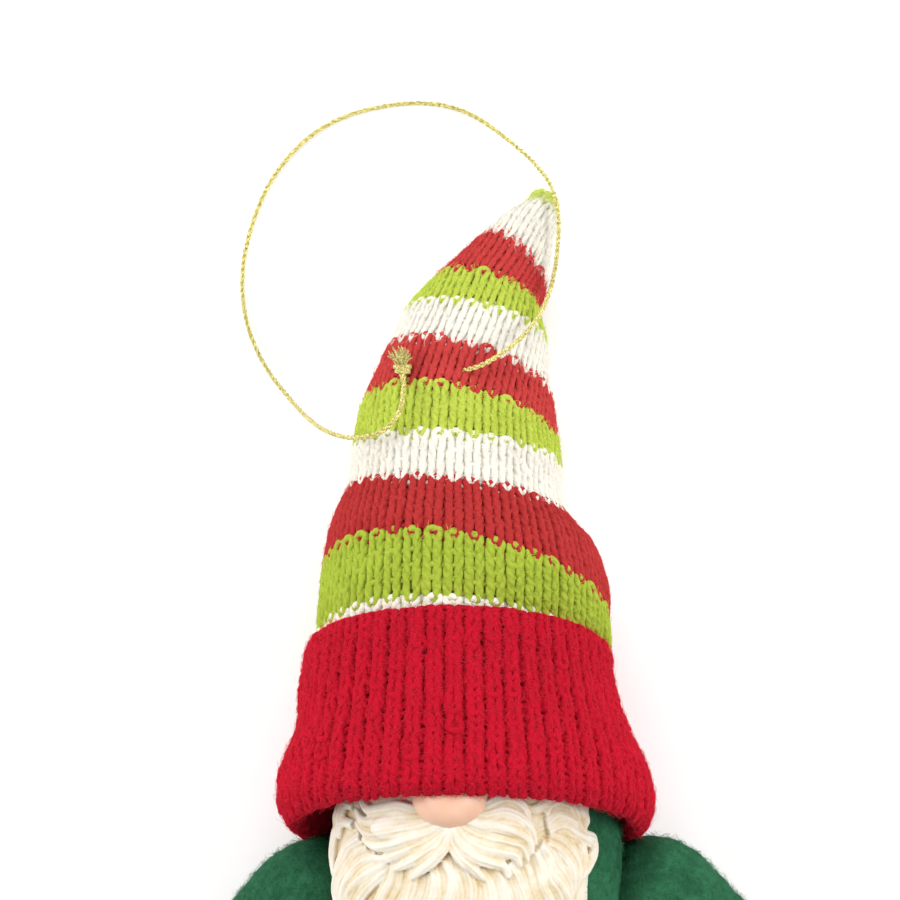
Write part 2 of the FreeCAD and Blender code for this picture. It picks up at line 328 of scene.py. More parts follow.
class Paint:
    """A node material with short calls for the nodes that it needs."""

    def __init__(self, name, roughness, sheen=0.0, metallic=0.0, specular=0.5, subsurface=0.0,
                 tint=(1.0, 1.0, 1.0, 1.0)):
        self.material = bpy.data.materials.new(name)
        self.material.use_nodes = True
        self.nodes = self.material.node_tree.nodes
        self.links = self.material.node_tree.links
        self.shader = self.nodes["Principled BSDF"]
        self.shader.inputs["Roughness"].default_value = roughness
        self.shader.inputs["Metallic"].default_value = metallic
        self.shader.inputs["Specular IOR Level"].default_value = specular
        if sheen:
            self.shader.inputs["Sheen Weight"].default_value = sheen
            self.shader.inputs["Sheen Roughness"].default_value = 0.5
            self.shader.inputs["Sheen Tint"].default_value = tint
        if subsurface:
            self.shader.inputs["Subsurface Weight"].default_value = subsurface
            self.shader.inputs["Subsurface Radius"].default_value = (1.0, 0.35, 0.2)
            self.shader.inputs["Subsurface Scale"].default_value = 0.0012

    def link(self, source, target):
        """A wire from one socket to another."""
        self.links.new(source, target)

    def place(self):
        """Object coordinates, in metres."""
        return self.nodes.new("ShaderNodeTexCoord").outputs["Object"]

    def along_yarn(self):
        """Millimetres along the yarn, and the turn round it from 0 to 1."""
        node = self.nodes.new("ShaderNodeUVMap")
        node.uv_map = "yarn"
        split = self.nodes.new("ShaderNodeSeparateXYZ")
        self.link(node.outputs["UV"], split.inputs["Vector"])
        return split.outputs["X"], split.outputs["Y"]

    def noise(self, size_mm, detail=3.0, rough=0.6, stretch=None):
        """Noise from 0 to 1 with features of about size_mm."""
        node = self.nodes.new("ShaderNodeTexNoise")
        node.inputs["Scale"].default_value = 1 / (size_mm * MM)
        node.inputs["Detail"].default_value = detail
        node.inputs["Roughness"].default_value = rough
        source = self.place()
        if stretch:
            scale = self.nodes.new("ShaderNodeVectorMath")
            scale.operation = "MULTIPLY"
            scale.inputs[1].default_value = stretch
            self.link(source, scale.inputs[0])
            source = scale.outputs["Vector"]
        self.link(source, node.inputs["Vector"])
        return node.outputs["Fac"]

    def math(self, operation, one, two=None):
        """A math node; one and two are sockets or plain numbers."""
        node = self.nodes.new("ShaderNodeMath")
        node.operation = operation
        for index, value in enumerate((one, two)):
            if value is None:
                continue
            if isinstance(value, (int, float)):
                node.inputs[index].default_value = value
            else:
                self.link(value, node.inputs[index])
        return node.outputs["Value"]

    def add(self, one, two):
        """Sum of two sockets or numbers."""
        return self.math("ADD", one, two)

    def times(self, one, two):
        """Product of two sockets or numbers."""
        return self.math("MULTIPLY", one, two)

    def ramp(self, value, stops):
        """Colour ramp; stops are (place, colour)."""
        node = self.nodes.new("ShaderNodeValToRGB")
        elements = node.color_ramp.elements
        while len(elements) < len(stops):
            elements.new(0.5)
        for element, (position, colour) in zip(elements, stops):
            element.position = position
            element.color = colour
        self.link(value, node.inputs["Fac"])
        return node.outputs["Color"]

    def mix(self, value, one, two):
        """From colour one to colour two, by value."""
        node = self.nodes.new("ShaderNodeMix")
        node.data_type = "RGBA"
        for socket, item in ((node.inputs[0], value), (node.inputs[6], one), (node.inputs[7], two)):
            if isinstance(item, (int, float, tuple)):
                socket.default_value = item
            else:
                self.link(item, socket)
        return node.outputs[2]

    def attribute(self, name):
        """A number stored on the mesh."""
        node = self.nodes.new("ShaderNodeAttribute")
        node.attribute_name = name
        return node.outputs["Fac"]

    def colour(self, value):
        """Sets the base colour from a socket."""
        self.link(value, self.shader.inputs["Base Color"])

    def bump(self, height, depth_mm, strength):
        """Relief of depth_mm from a height socket."""
        node = self.nodes.new("ShaderNodeBump")
        node.inputs["Distance"].default_value = depth_mm * MM
        node.inputs["Strength"].default_value = strength
        self.link(height, node.inputs["Height"])
        self.link(node.outputs["Normal"], self.shader.inputs["Normal"])


def yarn_paint(name, colour, twist_mm=2.3, contrast=0.3, sheen=0.25):
    """Two-ply wool: twisted plies, fine fibres, a little colour variation, and painted shade darkening
    the grooves between the plies.
    """
    paint = Paint(name, roughness=0.9, sheen=sheen, specular=0.08, tint=colour)
    along, round_turn = paint.along_yarn()
    phase = paint.add(paint.times(round_turn, 2.0), paint.times(along, 2.0 / twist_mm))
    ply = paint.math("SINE", paint.times(phase, 2 * math.pi))
    ply = paint.add(paint.times(ply, 0.5), 0.5)
    ply = paint.math("POWER", ply, 0.6)
    fibre = paint.noise(0.22, detail=4.0, rough=0.75)
    blotch = paint.noise(3.5, detail=2.0)
    height = paint.add(ply, paint.times(fibre, 0.9))
    tone = paint.ramp(fibre, [(0.28, shaded(colour, 1 - contrast)), (0.72, shaded(colour, 1.12))])
    # painted shade: the grooves between the plies darken towards shaded(colour, 0.45)
    tone = paint.mix(paint.times(paint.math("SUBTRACT", 1.0, ply), contrast),
                     tone, shaded(colour, 0.45))
    tone = paint.mix(0.35, tone, paint.ramp(blotch, [(0.3, shaded(colour, 0.82)),
                                                     (0.7, shaded(colour, 1.1))]))
    paint.colour(tone)
    paint.bump(height, 0.12, 0.8)
    return paint.material


def plain_fibre_paint(name, colour, spread=0.3):
    """Loose fibres: one colour with slow variation."""
    paint = Paint(name, roughness=0.9, sheen=0.15, specular=0.08, tint=colour)
    tone = paint.noise(1.2, detail=2.0)
    paint.colour(paint.ramp(tone, [(0.3, shaded(colour, 1 - spread)), (0.7, shaded(colour, 1.15))]))
    return paint.material


# ---- camera, light and floor ---------------------------------------------------------

camera_place = (-0.00434, 0.0407, 0.372)
camera_lens = 100
camera_sensor = 36
floor_half_side = 1.5
floor_drop = 0.0002         # keeps the floor clear of what lies on it
floor_glow = 0.10
world_light = 0.38
aim_point = Vector((0, 0.02, 0.01))
lamps = [
    # name, place, size, power
    ("left_light", (-0.62, 0.10, 0.46), 0.45, 4.4),
    ("right_light", (0.64, 0.06, 0.46), 0.45, 4.9),
    ("top_light", (-0.05, 0.60, 0.62), 0.50, 3.2),
]


def studio():
    """Overhead camera, pale floor, and large soft lights."""
    data = bpy.data.cameras.new("camera")
    data.lens = camera_lens
    data.sensor_width = camera_sensor
    camera = bpy.data.objects.new("camera", data)
    camera.location = camera_place
    bpy.context.scene.collection.objects.link(camera)
    bpy.context.scene.camera = camera

    floor_mesh = bpy.data.meshes.new("floor")
    edge = floor_half_side
    floor_mesh.from_pydata(
        [(-edge, -edge, 0), (edge, -edge, 0), (edge, edge, 0), (-edge, edge, 0)], [], [(0, 1, 2, 3)]
    )
    floor = bpy.data.objects.new("floor", floor_mesh)
    floor.location.z = -floor_drop
    paint = Paint("floor_paint", roughness=0.9, specular=0.1)
    grain = paint.noise(4.0)
    paint.colour(paint.ramp(grain, [(0.3, (0.93, 0.93, 0.93, 1)), (0.7, (0.95, 0.95, 0.95, 1))]))
    paint.shader.inputs["Emission Color"].default_value = (1.0, 1.0, 1.0, 1.0)
    paint.shader.inputs["Emission Strength"].default_value = floor_glow
    floor_mesh.materials.append(paint.material)
    bpy.context.scene.collection.objects.link(floor)

    for name, place, size, power in lamps:
        lamp = bpy.data.lights.new(name, "AREA")
        lamp.size = size
        lamp.energy = power
        holder = bpy.data.objects.new(name, lamp)
        holder.location = place
        aim = aim_point - Vector(place)
        holder.rotation_euler = aim.to_track_quat("-Z", "Y").to_euler()
        bpy.context.scene.collection.objects.link(holder)
    world = bpy.data.worlds.new("world")
    world.use_nodes = True
    backdrop = world.node_tree.nodes["Background"]
    backdrop.inputs["Color"].default_value = (1.0, 1.0, 1.0, 1)
    backdrop.inputs["Strength"].default_value = world_light
    bpy.context.scene.world = world
    bpy.context.scene.view_settings.view_transform = "Standard"


# ---- hanging cord --------------------------------------------------------------------

cord_route = [
    (-0.0026, 0.0517, 0.0253),
    (-0.0004, 0.0521, 0.0275),
    (0.0022, 0.0536, 0.0267),
    (0.0053, 0.0559, 0.0238),
    (0.0079, 0.0589, 0.0197),
    (0.0097, 0.0624, 0.0155),
    (0.0108, 0.0664, 0.0125),
    (0.0113, 0.0708, 0.0113),
    (0.0114, 0.0752, 0.0113),
    (0.0103, 0.0796, 0.0088),
    (0.0076, 0.0836, 0.0038),
    (0.0038, 0.0872, 0.0008),
    (-0.0014, 0.0910, 0.0004),
    (-0.0076, 0.0925, 0.0004),
    (-0.0144, 0.0919, 0.0004),
    (-0.0207, 0.0902, 0.0004),
    (-0.0263, 0.0867, 0.0004),
    (-0.0310, 0.0811, 0.0004),
    (-0.0339, 0.0743, 0.0004),
    (-0.0354, 0.0672, 0.0004),
    (-0.0349, 0.0599, 0.0004),
    (-0.0320, 0.0532, 0.0012),
    (-0.0280, 0.0484, 0.0058),
    (-0.0248, 0.0452, 0.0126),
    (-0.0217, 0.0432, 0.0196),
    (-0.0178, 0.0422, 0.0258),
    (-0.0136, 0.0429, 0.0294),
    (-0.0111, 0.0458, 0.0298),
    (-0.0106, 0.0492, 0.0283),
    (-0.0108, 0.0521, 0.0256),
]


def spline_points(route):
    """Points along the smooth NURBS line through the route's control points, in metres."""
    data = bpy.data.curves.new("cord_line", "CURVE")
    data.dimensions = "3D"
    spline = data.splines.new("NURBS")
    spline.points.add(len(route) - 1)
    for point, place in zip(spline.points, route):
        point.co = (*place, 1.0)
    spline.order_u = 3
    spline.use_endpoint_u = True
    spline.resolution_u = 24
    holder = bpy.data.objects.new("cord_line", data)
    bpy.context.scene.collection.objects.link(holder)
    bpy.context.view_layer.update()
    mesh = bpy.data.meshes.new_from_object(holder)
    points = np.array([vertex.co for vertex in mesh.vertices])
    bpy.data.objects.remove(holder)
    bpy.data.meshes.remove(mesh)
    return points


cord_strands = 2
strand_sides = 7
tail_count = 64
tail_steps = 10
knot_middle = np.array([-10.9, 51.6, 25.9])


def twisted(shape, path, offset, radius, pitch):
    """The cord's strands, wound round a path in millimetres."""
    steps = np.concatenate([[0], np.cumsum(np.linalg.norm(np.diff(path, axis=0), axis=1))])
    _, out, across = tube_frames(path)
    for strand in range(cord_strands):
        turn = 2 * math.pi * (steps / pitch + strand / cord_strands)
        side = np.cos(turn)[:, None] * out + np.sin(turn)[:, None] * across
        add_tube(shape, path + side * offset, radius, strand_sides)


def resampled(points, step):
    """Evenly spaced points along a polyline."""
    along = np.concatenate([[0], np.cumsum(np.linalg.norm(np.diff(points, axis=0), axis=1))])
    places = np.linspace(0, along[-1], int(along[-1] / step) + 1)
    return np.stack([np.interp(places, along, points[:, axis]) for axis in range(3)], axis=1)


def gold_paint():
    """Metallic thread wound on a core: painted highlights on the strands and painted shade in the gaps
    between them.
    """
    paint = Paint("gold_thread", roughness=0.32, metallic=0.3, specular=0.6)
    along, round_turn = paint.along_yarn()
    phase = paint.add(paint.times(round_turn, 5.0), paint.times(along, 3.0))
    thread = paint.math("SINE", paint.times(phase, 2 * math.pi))
    glint = paint.noise(0.3, detail=3.0, rough=0.7)
    level = paint.add(glint, paint.times(thread, 0.11))
    # painted light: the glint noise ramps to near-white gold as painted highlight, the gaps between
    # threads to dark olive as painted shade
    tone = paint.ramp(level, [
        (0.37, linear(124, 108, 44)),
        (0.47, linear(228, 210, 100)),
        (0.60, linear(255, 250, 176)),
    ])
    paint.colour(tone)
    paint.bump(paint.add(thread, paint.times(glint, 1.5)), 0.05, 0.8)
    return paint.material


def hanging_cord():
    """The gold loop, its knot and its frayed tails."""
    gold = gold_paint()
    points = spline_points(cord_route)
    path = resampled(points / MM, 0.14)
    shape = Shape()
    twisted(shape, path, offset=0.17, radius=0.20, pitch=2.0)
    cord = shape.build("gold_hanging_cord", [gold], "torso")
    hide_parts("hanging_cord")

    knot_shape = Shape()
    turns = np.linspace(0, 2 * math.pi, 90)
    loops = np.stack([
        0.75 * (np.sin(turns) + 0.55 * np.sin(2 * turns)),
        0.85 * (np.cos(turns) - 0.50 * np.cos(2 * turns)),
        -0.5 * np.sin(3 * turns),
    ], axis=1)
    twisted(knot_shape, knot_middle + loops, offset=0.15, radius=0.20, pitch=1.5)
    wrap = np.stack([
        0.8 * np.cos(turns * 3), 0.42 * turns / math.pi - 0.1, 0.75 * np.sin(turns * 3)
    ], axis=1)
    twisted(knot_shape, knot_middle + wrap, offset=0.15, radius=0.19, pitch=1.5)
    root = knot_middle + [0.0, 0.7, 0.1]
    for index in range(tail_count):
        share = rng.uniform(-1, 1)
        reach = rng.uniform(1.6, 3.1) * (1 - 0.25 * abs(share))
        way = np.array([math.sin(share * 0.85) - 0.18, math.cos(share * 0.85), 0.0])
        lift = rng.uniform(-0.9, 0.5)
        side = rng.normal(scale=0.22, size=3)
        tip = root + way * reach + [0, 0, lift - 0.5 * max(0.0, reach - 1.6)]
        strand = curve_through([
            root + side * 0.8, root + way * reach * 0.45 + side * 0.7 + [0, 0, 0.4], tip + side
        ], tail_steps)
        strand[:, 0] += 0.1 * np.sin(np.linspace(0, 9, tail_steps) + index)
        add_tube(knot_shape, strand, np.linspace(0.11, 0.06, tail_steps), 5)
    knot = knot_shape.build("frayed_knot", [gold], "torso")
    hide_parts("cord_knot")


# ---- knitted surfaces ----------------------------------------------------------------

ring_steps = 720


class Skin:
    """Smooth skin through oval rings, read by row along it and millimetres round it.

    Each ring is (row, left, right, front, middle z): left and right are (x, y) at that
    height, and front is the foremost (x, y, z). The back mirrors the front."""

    def __init__(self, rings, centre_line, inset, row_step=0.1, reach=75.0, arc_step=0.25):
        rows = np.array([ring[0] for ring in rings], float)
        table = np.array([[*ring[1], *ring[2], *ring[3], ring[4]] for ring in rings], float)
        self.first = rows[0]
        self.row_step = row_step
        self.reach = reach
        self.arc_step = arc_step
        self.rows = np.arange(rows[0], rows[-1] + row_step / 2, row_step)
        read = smooth_between(rows, table, self.rows)
        left = np.concatenate([read[:, 0:2], read[:, 7:8]], axis=1)
        right = np.concatenate([read[:, 2:4], read[:, 7:8]], axis=1)
        front = read[:, 4:7]
        centre = (left + right) / 2
        across = (right - left) / 2
        out = front - centre
        size = np.linalg.norm(across, axis=1, keepdims=True)
        depth = np.linalg.norm(out, axis=1, keepdims=True)
        across = across * (1 - inset / size)
        out = out * (1 - inset / depth)
        line = np.interp(self.rows, [c[0] for c in centre_line], [c[1] for c in centre_line])
        turns = np.linspace(-math.pi / 2, math.pi * 1.5, ring_steps + 1)
        arcs = np.arange(-reach, reach + arc_step / 2, arc_step)
        self.half = np.zeros(len(self.rows))
        self.grid = np.zeros((len(self.rows), len(arcs), 3))
        for index in range(len(self.rows)):
            ring = (
                centre[index]
                + np.cos(turns)[:, None] * across[index]
                + np.sin(turns)[:, None] * out[index]
            )
            along = np.concatenate([[0], np.cumsum(np.linalg.norm(np.diff(ring, axis=0), axis=1))])
            front_part = slice(ring_steps // 4, ring_steps * 3 // 4 + 1)
            zero = np.interp(-line[index], -ring[front_part, 0], along[front_part])
            self.half[index] = along[-1] / 2
            places = (zero - arcs) % along[-1]
            for axis in range(3):
                self.grid[index, :, axis] = np.interp(places, along, ring[:, axis])
        d_row = np.gradient(self.grid, axis=0)
        d_arc = np.gradient(self.grid, axis=1)
        self.normals = unit(np.cross(d_arc, d_row))
        middle = self.grid[len(self.rows) // 4]
        facing = (self.normals[len(self.rows) // 4] * (middle - middle.mean(axis=0))).sum()
        if facing < 0:
            self.normals = -self.normals

    def read(self, table, row, arc):
        """Bilinear reading of a table of vectors."""
        i = np.clip((row - self.first) / self.row_step, 0, len(self.rows) - 1.001)
        j = np.clip((arc + self.reach) / self.arc_step, 0, table.shape[1] - 1.001)
        i0 = i.astype(int)
        j0 = j.astype(int)
        fi = (i - i0)[..., None]
        fj = (j - j0)[..., None]
        low = table[i0, j0] * (1 - fj) + table[i0, j0 + 1] * fj
        high = table[i0 + 1, j0] * (1 - fj) + table[i0 + 1, j0 + 1] * fj
        return low * (1 - fi) + high * fi

    def at(self, row, arc, height=0.0):
        """Points on the skin, raised by height, and the normals there."""
        row = np.asarray(row, float)
        arc = np.asarray(arc, float)
        normal = unit(self.read(self.normals, row, arc))
        height = np.asarray(height, float)
        return self.read(self.grid, row, arc) + normal * height[..., None], normal

    def half_round(self, row):
        """Half of the way round at a row."""
        return np.interp(row, self.rows, self.half)


yarn_sides = 8
shade_slot = 1              # the painted-shade layer under the yarn in a knitted piece
fuzz_slot = 2               # its loose fibres, in a lighter copy of the yarn colour as painted highlight


class Knit:
    """Stocking stitch on a skin: one closed yarn for each course."""

    def __init__(self, skin, pitch, radius, relief, open_v, rib, squeeze=0.0, rough=0.05):
        self.skin = skin
        self.pitch = pitch          # (rows, stitch widths)
        self.radius = radius        # (rows, yarn radii)
        self.relief = relief
        self.open_v = open_v
        self.rib = rib
        self.squeeze = squeeze
        self.rough = rough
        self.samples = 18           # points in each stitch
        self.roots = []
        self.outward = []

    def stitch_width(self, row):
        """Width of one stitch at a row."""
        return np.interp(row, *self.pitch)

    def course(self, shape, row, crest=0.0):
        """Adds the course of loops that shows between row and row + 1.

        crest lifts the heads of the loops in front of the next course."""
        skin = self.skin
        width = self.stitch_width(row + 0.5)
        wales = int(skin.half_round(row + 0.5) / width - 0.5)
        loops = 2 * wales + 1
        stitch = np.repeat(np.arange(-wales, wales + 1), self.samples)
        turn = np.tile((np.arange(self.samples) + 0.5) / self.samples * 2 - 1, loops)
        turn = turn * math.pi
        lean = np.repeat(rng.normal(scale=self.rough, size=loops), self.samples)
        grow = np.repeat(rng.normal(scale=self.rough, size=loops), self.samples)
        lift = np.repeat(rng.normal(scale=self.rough * 1.6, size=loops), self.samples)
        across = (turn + (self.open_v + grow) * np.sin(2 * turn)) / (2 * math.pi)
        across = across - self.squeeze * np.sin(turn) + lean * np.cos(turn / 2) ** 2
        up = row + 0.5 + (1.05 + grow * 0.8) * np.cos(turn)
        inner = -np.cos(2 * turn)
        height = self.relief * inner
        height = height + lift * np.cos(turn / 2) ** 2
        rib = np.interp(row, *self.rib)
        height = height - rib * (0.5 - 0.5 * np.cos(2 * math.pi * across))
        arch = np.exp(-(turn / 1.25) ** 2)
        height = height + crest * arch
        up = up - crest * 1.5 * arch
        up = np.clip(up, skin.rows[0], skin.rows[-1])
        arc = (stitch + across) * self.stitch_width(up)
        path, normal = skin.at(up, arc, height)
        radius = np.interp(row, *self.radius)
        thick = radius * (1 + 0.08 * ripple(path, 3.0, 5))
        add_tube(shape, path, thick, yarn_sides, normals=normal, closed=True, squash=0.9)
        shows = np.abs(np.abs(turn) - math.pi / 2) < math.pi * 0.3
        self.roots.append((path + normal * radius * 0.6)[shows])
        self.outward.append(normal[shows])

    def painted_shade_layer(self, shape, first, last, height):
        """Closed dark layer of painted shade just under the yarn, where the holes of the knit show it.
        """
        rows = np.arange(first, last + 0.26, 0.5)
        turns = np.linspace(-1, 1, 141)[:-1]
        row_grid = np.repeat(rows[:, None], len(turns), axis=1)
        arc = turns[None] * self.skin.half_round(rows)[:, None]
        points, _ = self.skin.at(row_grid, arc, np.full(arc.shape, height))
        add_grid(shape, points, True, shade_slot)

    def take_roots(self):
        """Places for loose fibres on the courses made since the last call."""
        found = np.concatenate(self.roots), np.concatenate(self.outward)
        self.roots = []
        self.outward = []
        return found


crown_rings = [
    # row, left (x, y), right (x, y), front (x, y, z), middle z
    (-3, (-22.0, 3.0), (16.5, 1.5), (-3.6, 11.0, 39.6), 21.0),
    (0, (-23.0, 10.0), (17.4, 7.6), (-3.8, 19.0, 38.5), 20.6),
    (2, (-23.3, 13.4), (17.8, 10.6), (-3.7, 21.2, 38.4), 20.3),
    (4.5, (-23.2, 18.6), (18.6, 12.8), (-2.0, 25.3, 38.9), 20.1),
    (7, (-22.6, 24.2), (18.3, 15.6), (-0.6, 29.4, 39.0), 19.7),
    (9, (-22.0, 27.8), (18.4, 20.6), (-1.8, 32.0, 37.4), 18.8),
    (11, (-21.0, 31.0), (16.6, 26.4), (-3.0, 34.4, 34.6), 17.4),
    (13, (-19.5, 34.4), (13.0, 30.6), (-4.0, 37.0, 32.0), 16.1),
    (17, (-18.6, 40.3), (12.0, 38.2), (-4.4, 43.3, 29.0), 14.6),
    (22, (-17.2, 46.6), (11.6, 41.6), (-3.8, 50.0, 27.2), 13.6),
    (26, (-14.0, 54.3), (10.8, 47.6), (-1.8, 56.0, 23.8), 11.9),
    (29, (-11.4, 60.6), (9.9, 55.7), (0.2, 61.4, 20.4), 10.2),
    (32, (-7.2, 65.4), (8.8, 60.6), (1.9, 66.0, 17.7), 9.0),
    (36, (0.0, 72.0), (9.9, 63.7), (5.4, 70.8, 14.2), 7.4),
    (38, (3.4, 75.2), (10.7, 69.6), (7.5, 74.4, 11.9), 6.4),
    (40, (6.2, 76.9), (11.6, 74.6), (9.4, 77.1, 9.4), 5.4),
    (42, (7.3, 78.5), (11.7, 76.3), (9.8, 78.0, 8.4), 5.0),
]
crown_centre = [(-3, -4.0), (13, -3.8), (22, -3.2), (26, -1.4), (29, 0.8), (32, 2.4), (36, 5.4),
                (40, 9.6), (42, 9.9)]
stripes = [
    # name, first row, rows, paint
    ("white_band_low", 0, 2, "white"),
    ("lime_band_low", 2, 5, "shaded_low_lime"),
    ("cranberry_band_low", 7, 6, "shaded_low_cranberry"),
    ("white_band_middle", 13, 4, "white"),
    ("lime_band_middle", 17, 5, "lime"),
    ("cranberry_band_middle", 22, 4, "cranberry"),
    ("white_band_high", 26, 3, "white"),
    ("lime_band_high", 29, 3, "lime"),
    ("cranberry_band_high", 32, 4, "cranberry"),
    ("white_band_tip", 36, 4, "white"),
    ("lime_tip", 40, 2, "tip_lime"),
]
yarn_colours = {
    "white": (225, 221, 210),
    "lime": (184, 200, 78),
    "tip_lime": (198, 208, 112),
    "cranberry": (191, 64, 62),
    # The two low colours are darker copies of lime and cranberry: painted shade for the lower, more
    # open bands.
    "shaded_low_lime": (164, 182, 62),
    "shaded_low_cranberry": (176, 50, 50),
    "crimson": (188, 17, 41),
}


fuzz_in_row = 520


def hat_crown():
    """Striped jersey tube. The first stripe stands for the CAD crown."""
    skin = Skin(crown_rings, crown_centre, inset=0.75)
    knit = Knit(
        skin,
        pitch=([-3, 7, 13, 22, 30, 38, 42], [2.85, 2.85, 2.5, 2.35, 2.1, 1.9, 1.7]),
        radius=([0, 7, 13, 22, 30, 42], [0.52, 0.52, 0.48, 0.45, 0.41, 0.36]),
        relief=0.18,
        open_v=1.16,
        rib=([-3, 42], [0.30, 0.22]),
    )
    paints = {}
    for key in ("white", "lime", "tip_lime", "cranberry", "shaded_low_lime", "shaded_low_cranberry"):
        colour = linear(*yarn_colours[key])
        # deep sets how dark the painted-shade layer under the yarn is, as a share of the yarn colour
        deep = 0.88 if key == "white" else 0.55
        paints[key] = [
            yarn_paint(key + "_yarn", colour, contrast=0.07 if key == "white" else 0.28),
            plain_fibre_paint(key + "_shade", shaded(colour, deep)),
            # painted highlight: the loose fibres are a lighter copy of the yarn colour
            plain_fibre_paint(key + "_fuzz", shaded(colour, 1.25), 0.1),
        ]
    for name, first, count, key in stripes:
        shape = Shape()
        start = first - 2 if first == 0 else first
        for row in range(start, first + count):
            knit.course(shape, row, crest=0.24 if row == first + count - 1 else 0.0)
        depth = -0.1 if key == "white" else -0.5
        knit.painted_shade_layer(shape, start - 0.2, first + count + 0.2, depth)
        roots, outward = knit.take_roots()
        add_fibres(shape, roots, outward, fuzz_in_row * count, length=1.1, lift=0.55,
                   thickness=0.038, material=fuzz_slot)
        piece = shape.build(name, paints[key], "torso")
        if first == 0:
            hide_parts("hat_crown")
    tip_closing(skin, paints["tip_lime"])
    hat_fill(skin)


def tip_closing(skin, paints):
    """Whipped yarn that draws the last course shut."""
    shape = Shape()
    centre = skin.grid[-1].mean(axis=0)
    last, _ = skin.at(np.full(24, 41.6), np.linspace(-1, 1, 24, endpoint=False) * skin.half[-1])
    axis = unit(skin.grid[-1].mean(axis=0) - skin.grid[-12].mean(axis=0))
    for index in range(12):
        one = last[index * 2]
        other = last[(index * 2 + 11) % 24]
        middle = centre + axis * (0.5 + 0.3 * rng.uniform()) + rng.normal(scale=0.25, size=3)
        line = curve_through([one, (one + middle) / 2 + axis * 0.35, middle,
                              (other + middle) / 2 + axis * 0.35, other], 22)
        add_tube(shape, line, 0.42, 8)
    piece = shape.build("tip_whipping", [paints[0]], "torso")
    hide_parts("tip_closing_yarn")


def hat_fill(skin):
    """Fibre fill inside the crown, closed at both ends."""
    paint = plain_fibre_paint("fibre_fill", linear(236, 234, 228), 0.1)
    shape = Shape()
    rows = np.linspace(0.0, 40.0, 60)
    turns = np.linspace(-1, 1, 97)[:-1]
    arc = turns[None] * skin.half_round(rows)[:, None]
    points, normal = skin.at(np.repeat(rows[:, None], 96, axis=1), arc, np.full(arc.shape, -1.7))
    points = points + normal * (ripple(points, 5.0, 3) * 0.3)[..., None]
    add_capped(shape, points)
    piece = shape.build("hat_fill", [paint], "torso")
    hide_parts("hat_stuffing")


# The brim's rows run from its top edge down, round the rolled edge and up inside.
cuff_rings = [
    (-1, (-23.7, 13.4), (17.5, 12.9), (-3.7, 20.5, 39.8), 20.3),
    (0, (-24.3, 12.6), (18.1, 12.2), (-3.7, 19.8, 40.6), 20.3),
    (5, (-25.5, 7.0), (19.2, 6.4), (-3.7, 14.2, 41.9), 20.9),
    (10, (-26.0, 1.0), (21.2, 0.8), (-3.7, 8.2, 43.5), 21.7),
    (15, (-28.1, -4.6), (23.8, -4.7), (-3.7, 2.4, 44.9), 22.4),
    (19.4, (-28.1, -9.6), (24.2, -9.6), (-3.7, -2.2, 45.5), 23.0),
    (20.8, (-27.4, -11.2), (23.5, -11.2), (-3.7, -3.4, 44.9), 23.1),
    (21.9, (-26.8, -11.8), (22.6, -11.8), (-3.7, -4.1, 43.9), 23.1),
    (23.0, (-25.7, -11.2), (21.5, -11.2), (-3.7, -3.5, 42.8), 23.1),
    (24.3, (-25.2, -9.6), (21.0, -9.6), (-3.7, -2.2, 42.2), 23.0),
    (29, (-24.6, -4.4), (20.4, -4.6), (-3.7, 2.6, 41.4), 22.4),
]


fuzz_in_part = 9500


def hat_cuff():
    """Turned-up rib brim with a rolled lower edge, in a fuzzier yarn."""
    skin = Skin(cuff_rings, [(-1, -3.8), (29, -3.8)], inset=0.55)
    knit = Knit(
        skin,
        pitch=([-1, 6, 15, 20, 29], [2.52, 2.62, 2.8, 2.84, 2.8]),
        radius=([-1, 29], [0.53, 0.53]),
        relief=0.14,
        open_v=1.12,
        rib=([-1, 0, 2, 16, 20.5, 29], [0.1, 0.4, 0.68, 0.62, 0.22, 0.2]),
        squeeze=0.03,
        rough=0.10,
    )
    colour = linear(*yarn_colours["crimson"])
    materials = [
        yarn_paint("crimson_yarn", colour, contrast=0.25, sheen=0.35),
        # the brim's painted-shade layer: a darker copy of the crimson
        plain_fibre_paint("crimson_shade", shaded(colour, 0.45)),
        # painted highlight: the brim's loose fibres are a lighter copy of the crimson
        plain_fibre_paint("crimson_fuzz", linear(206, 44, 62), 0.1),
    ]
    parts = [("rib_brim_upper", 0, 7), ("rib_brim_middle", 7, 15), ("rib_brim_edge", 15, 27)]
    for name, first, last in parts:
        shape = Shape()
        for row in range(first, last):
            knit.course(shape, row)
        knit.painted_shade_layer(shape, first - 0.4, last + 0.3, -0.75)
        roots, outward = knit.take_roots()
        add_fibres(shape, roots, outward, fuzz_in_part, length=1.35, lift=0.55,
                   thickness=0.030, material=fuzz_slot)
        piece = shape.build(name, materials, "torso")
        if first == 0:
            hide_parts("hat_cuff")


# ---- beard and nose ------------------------------------------------------------------

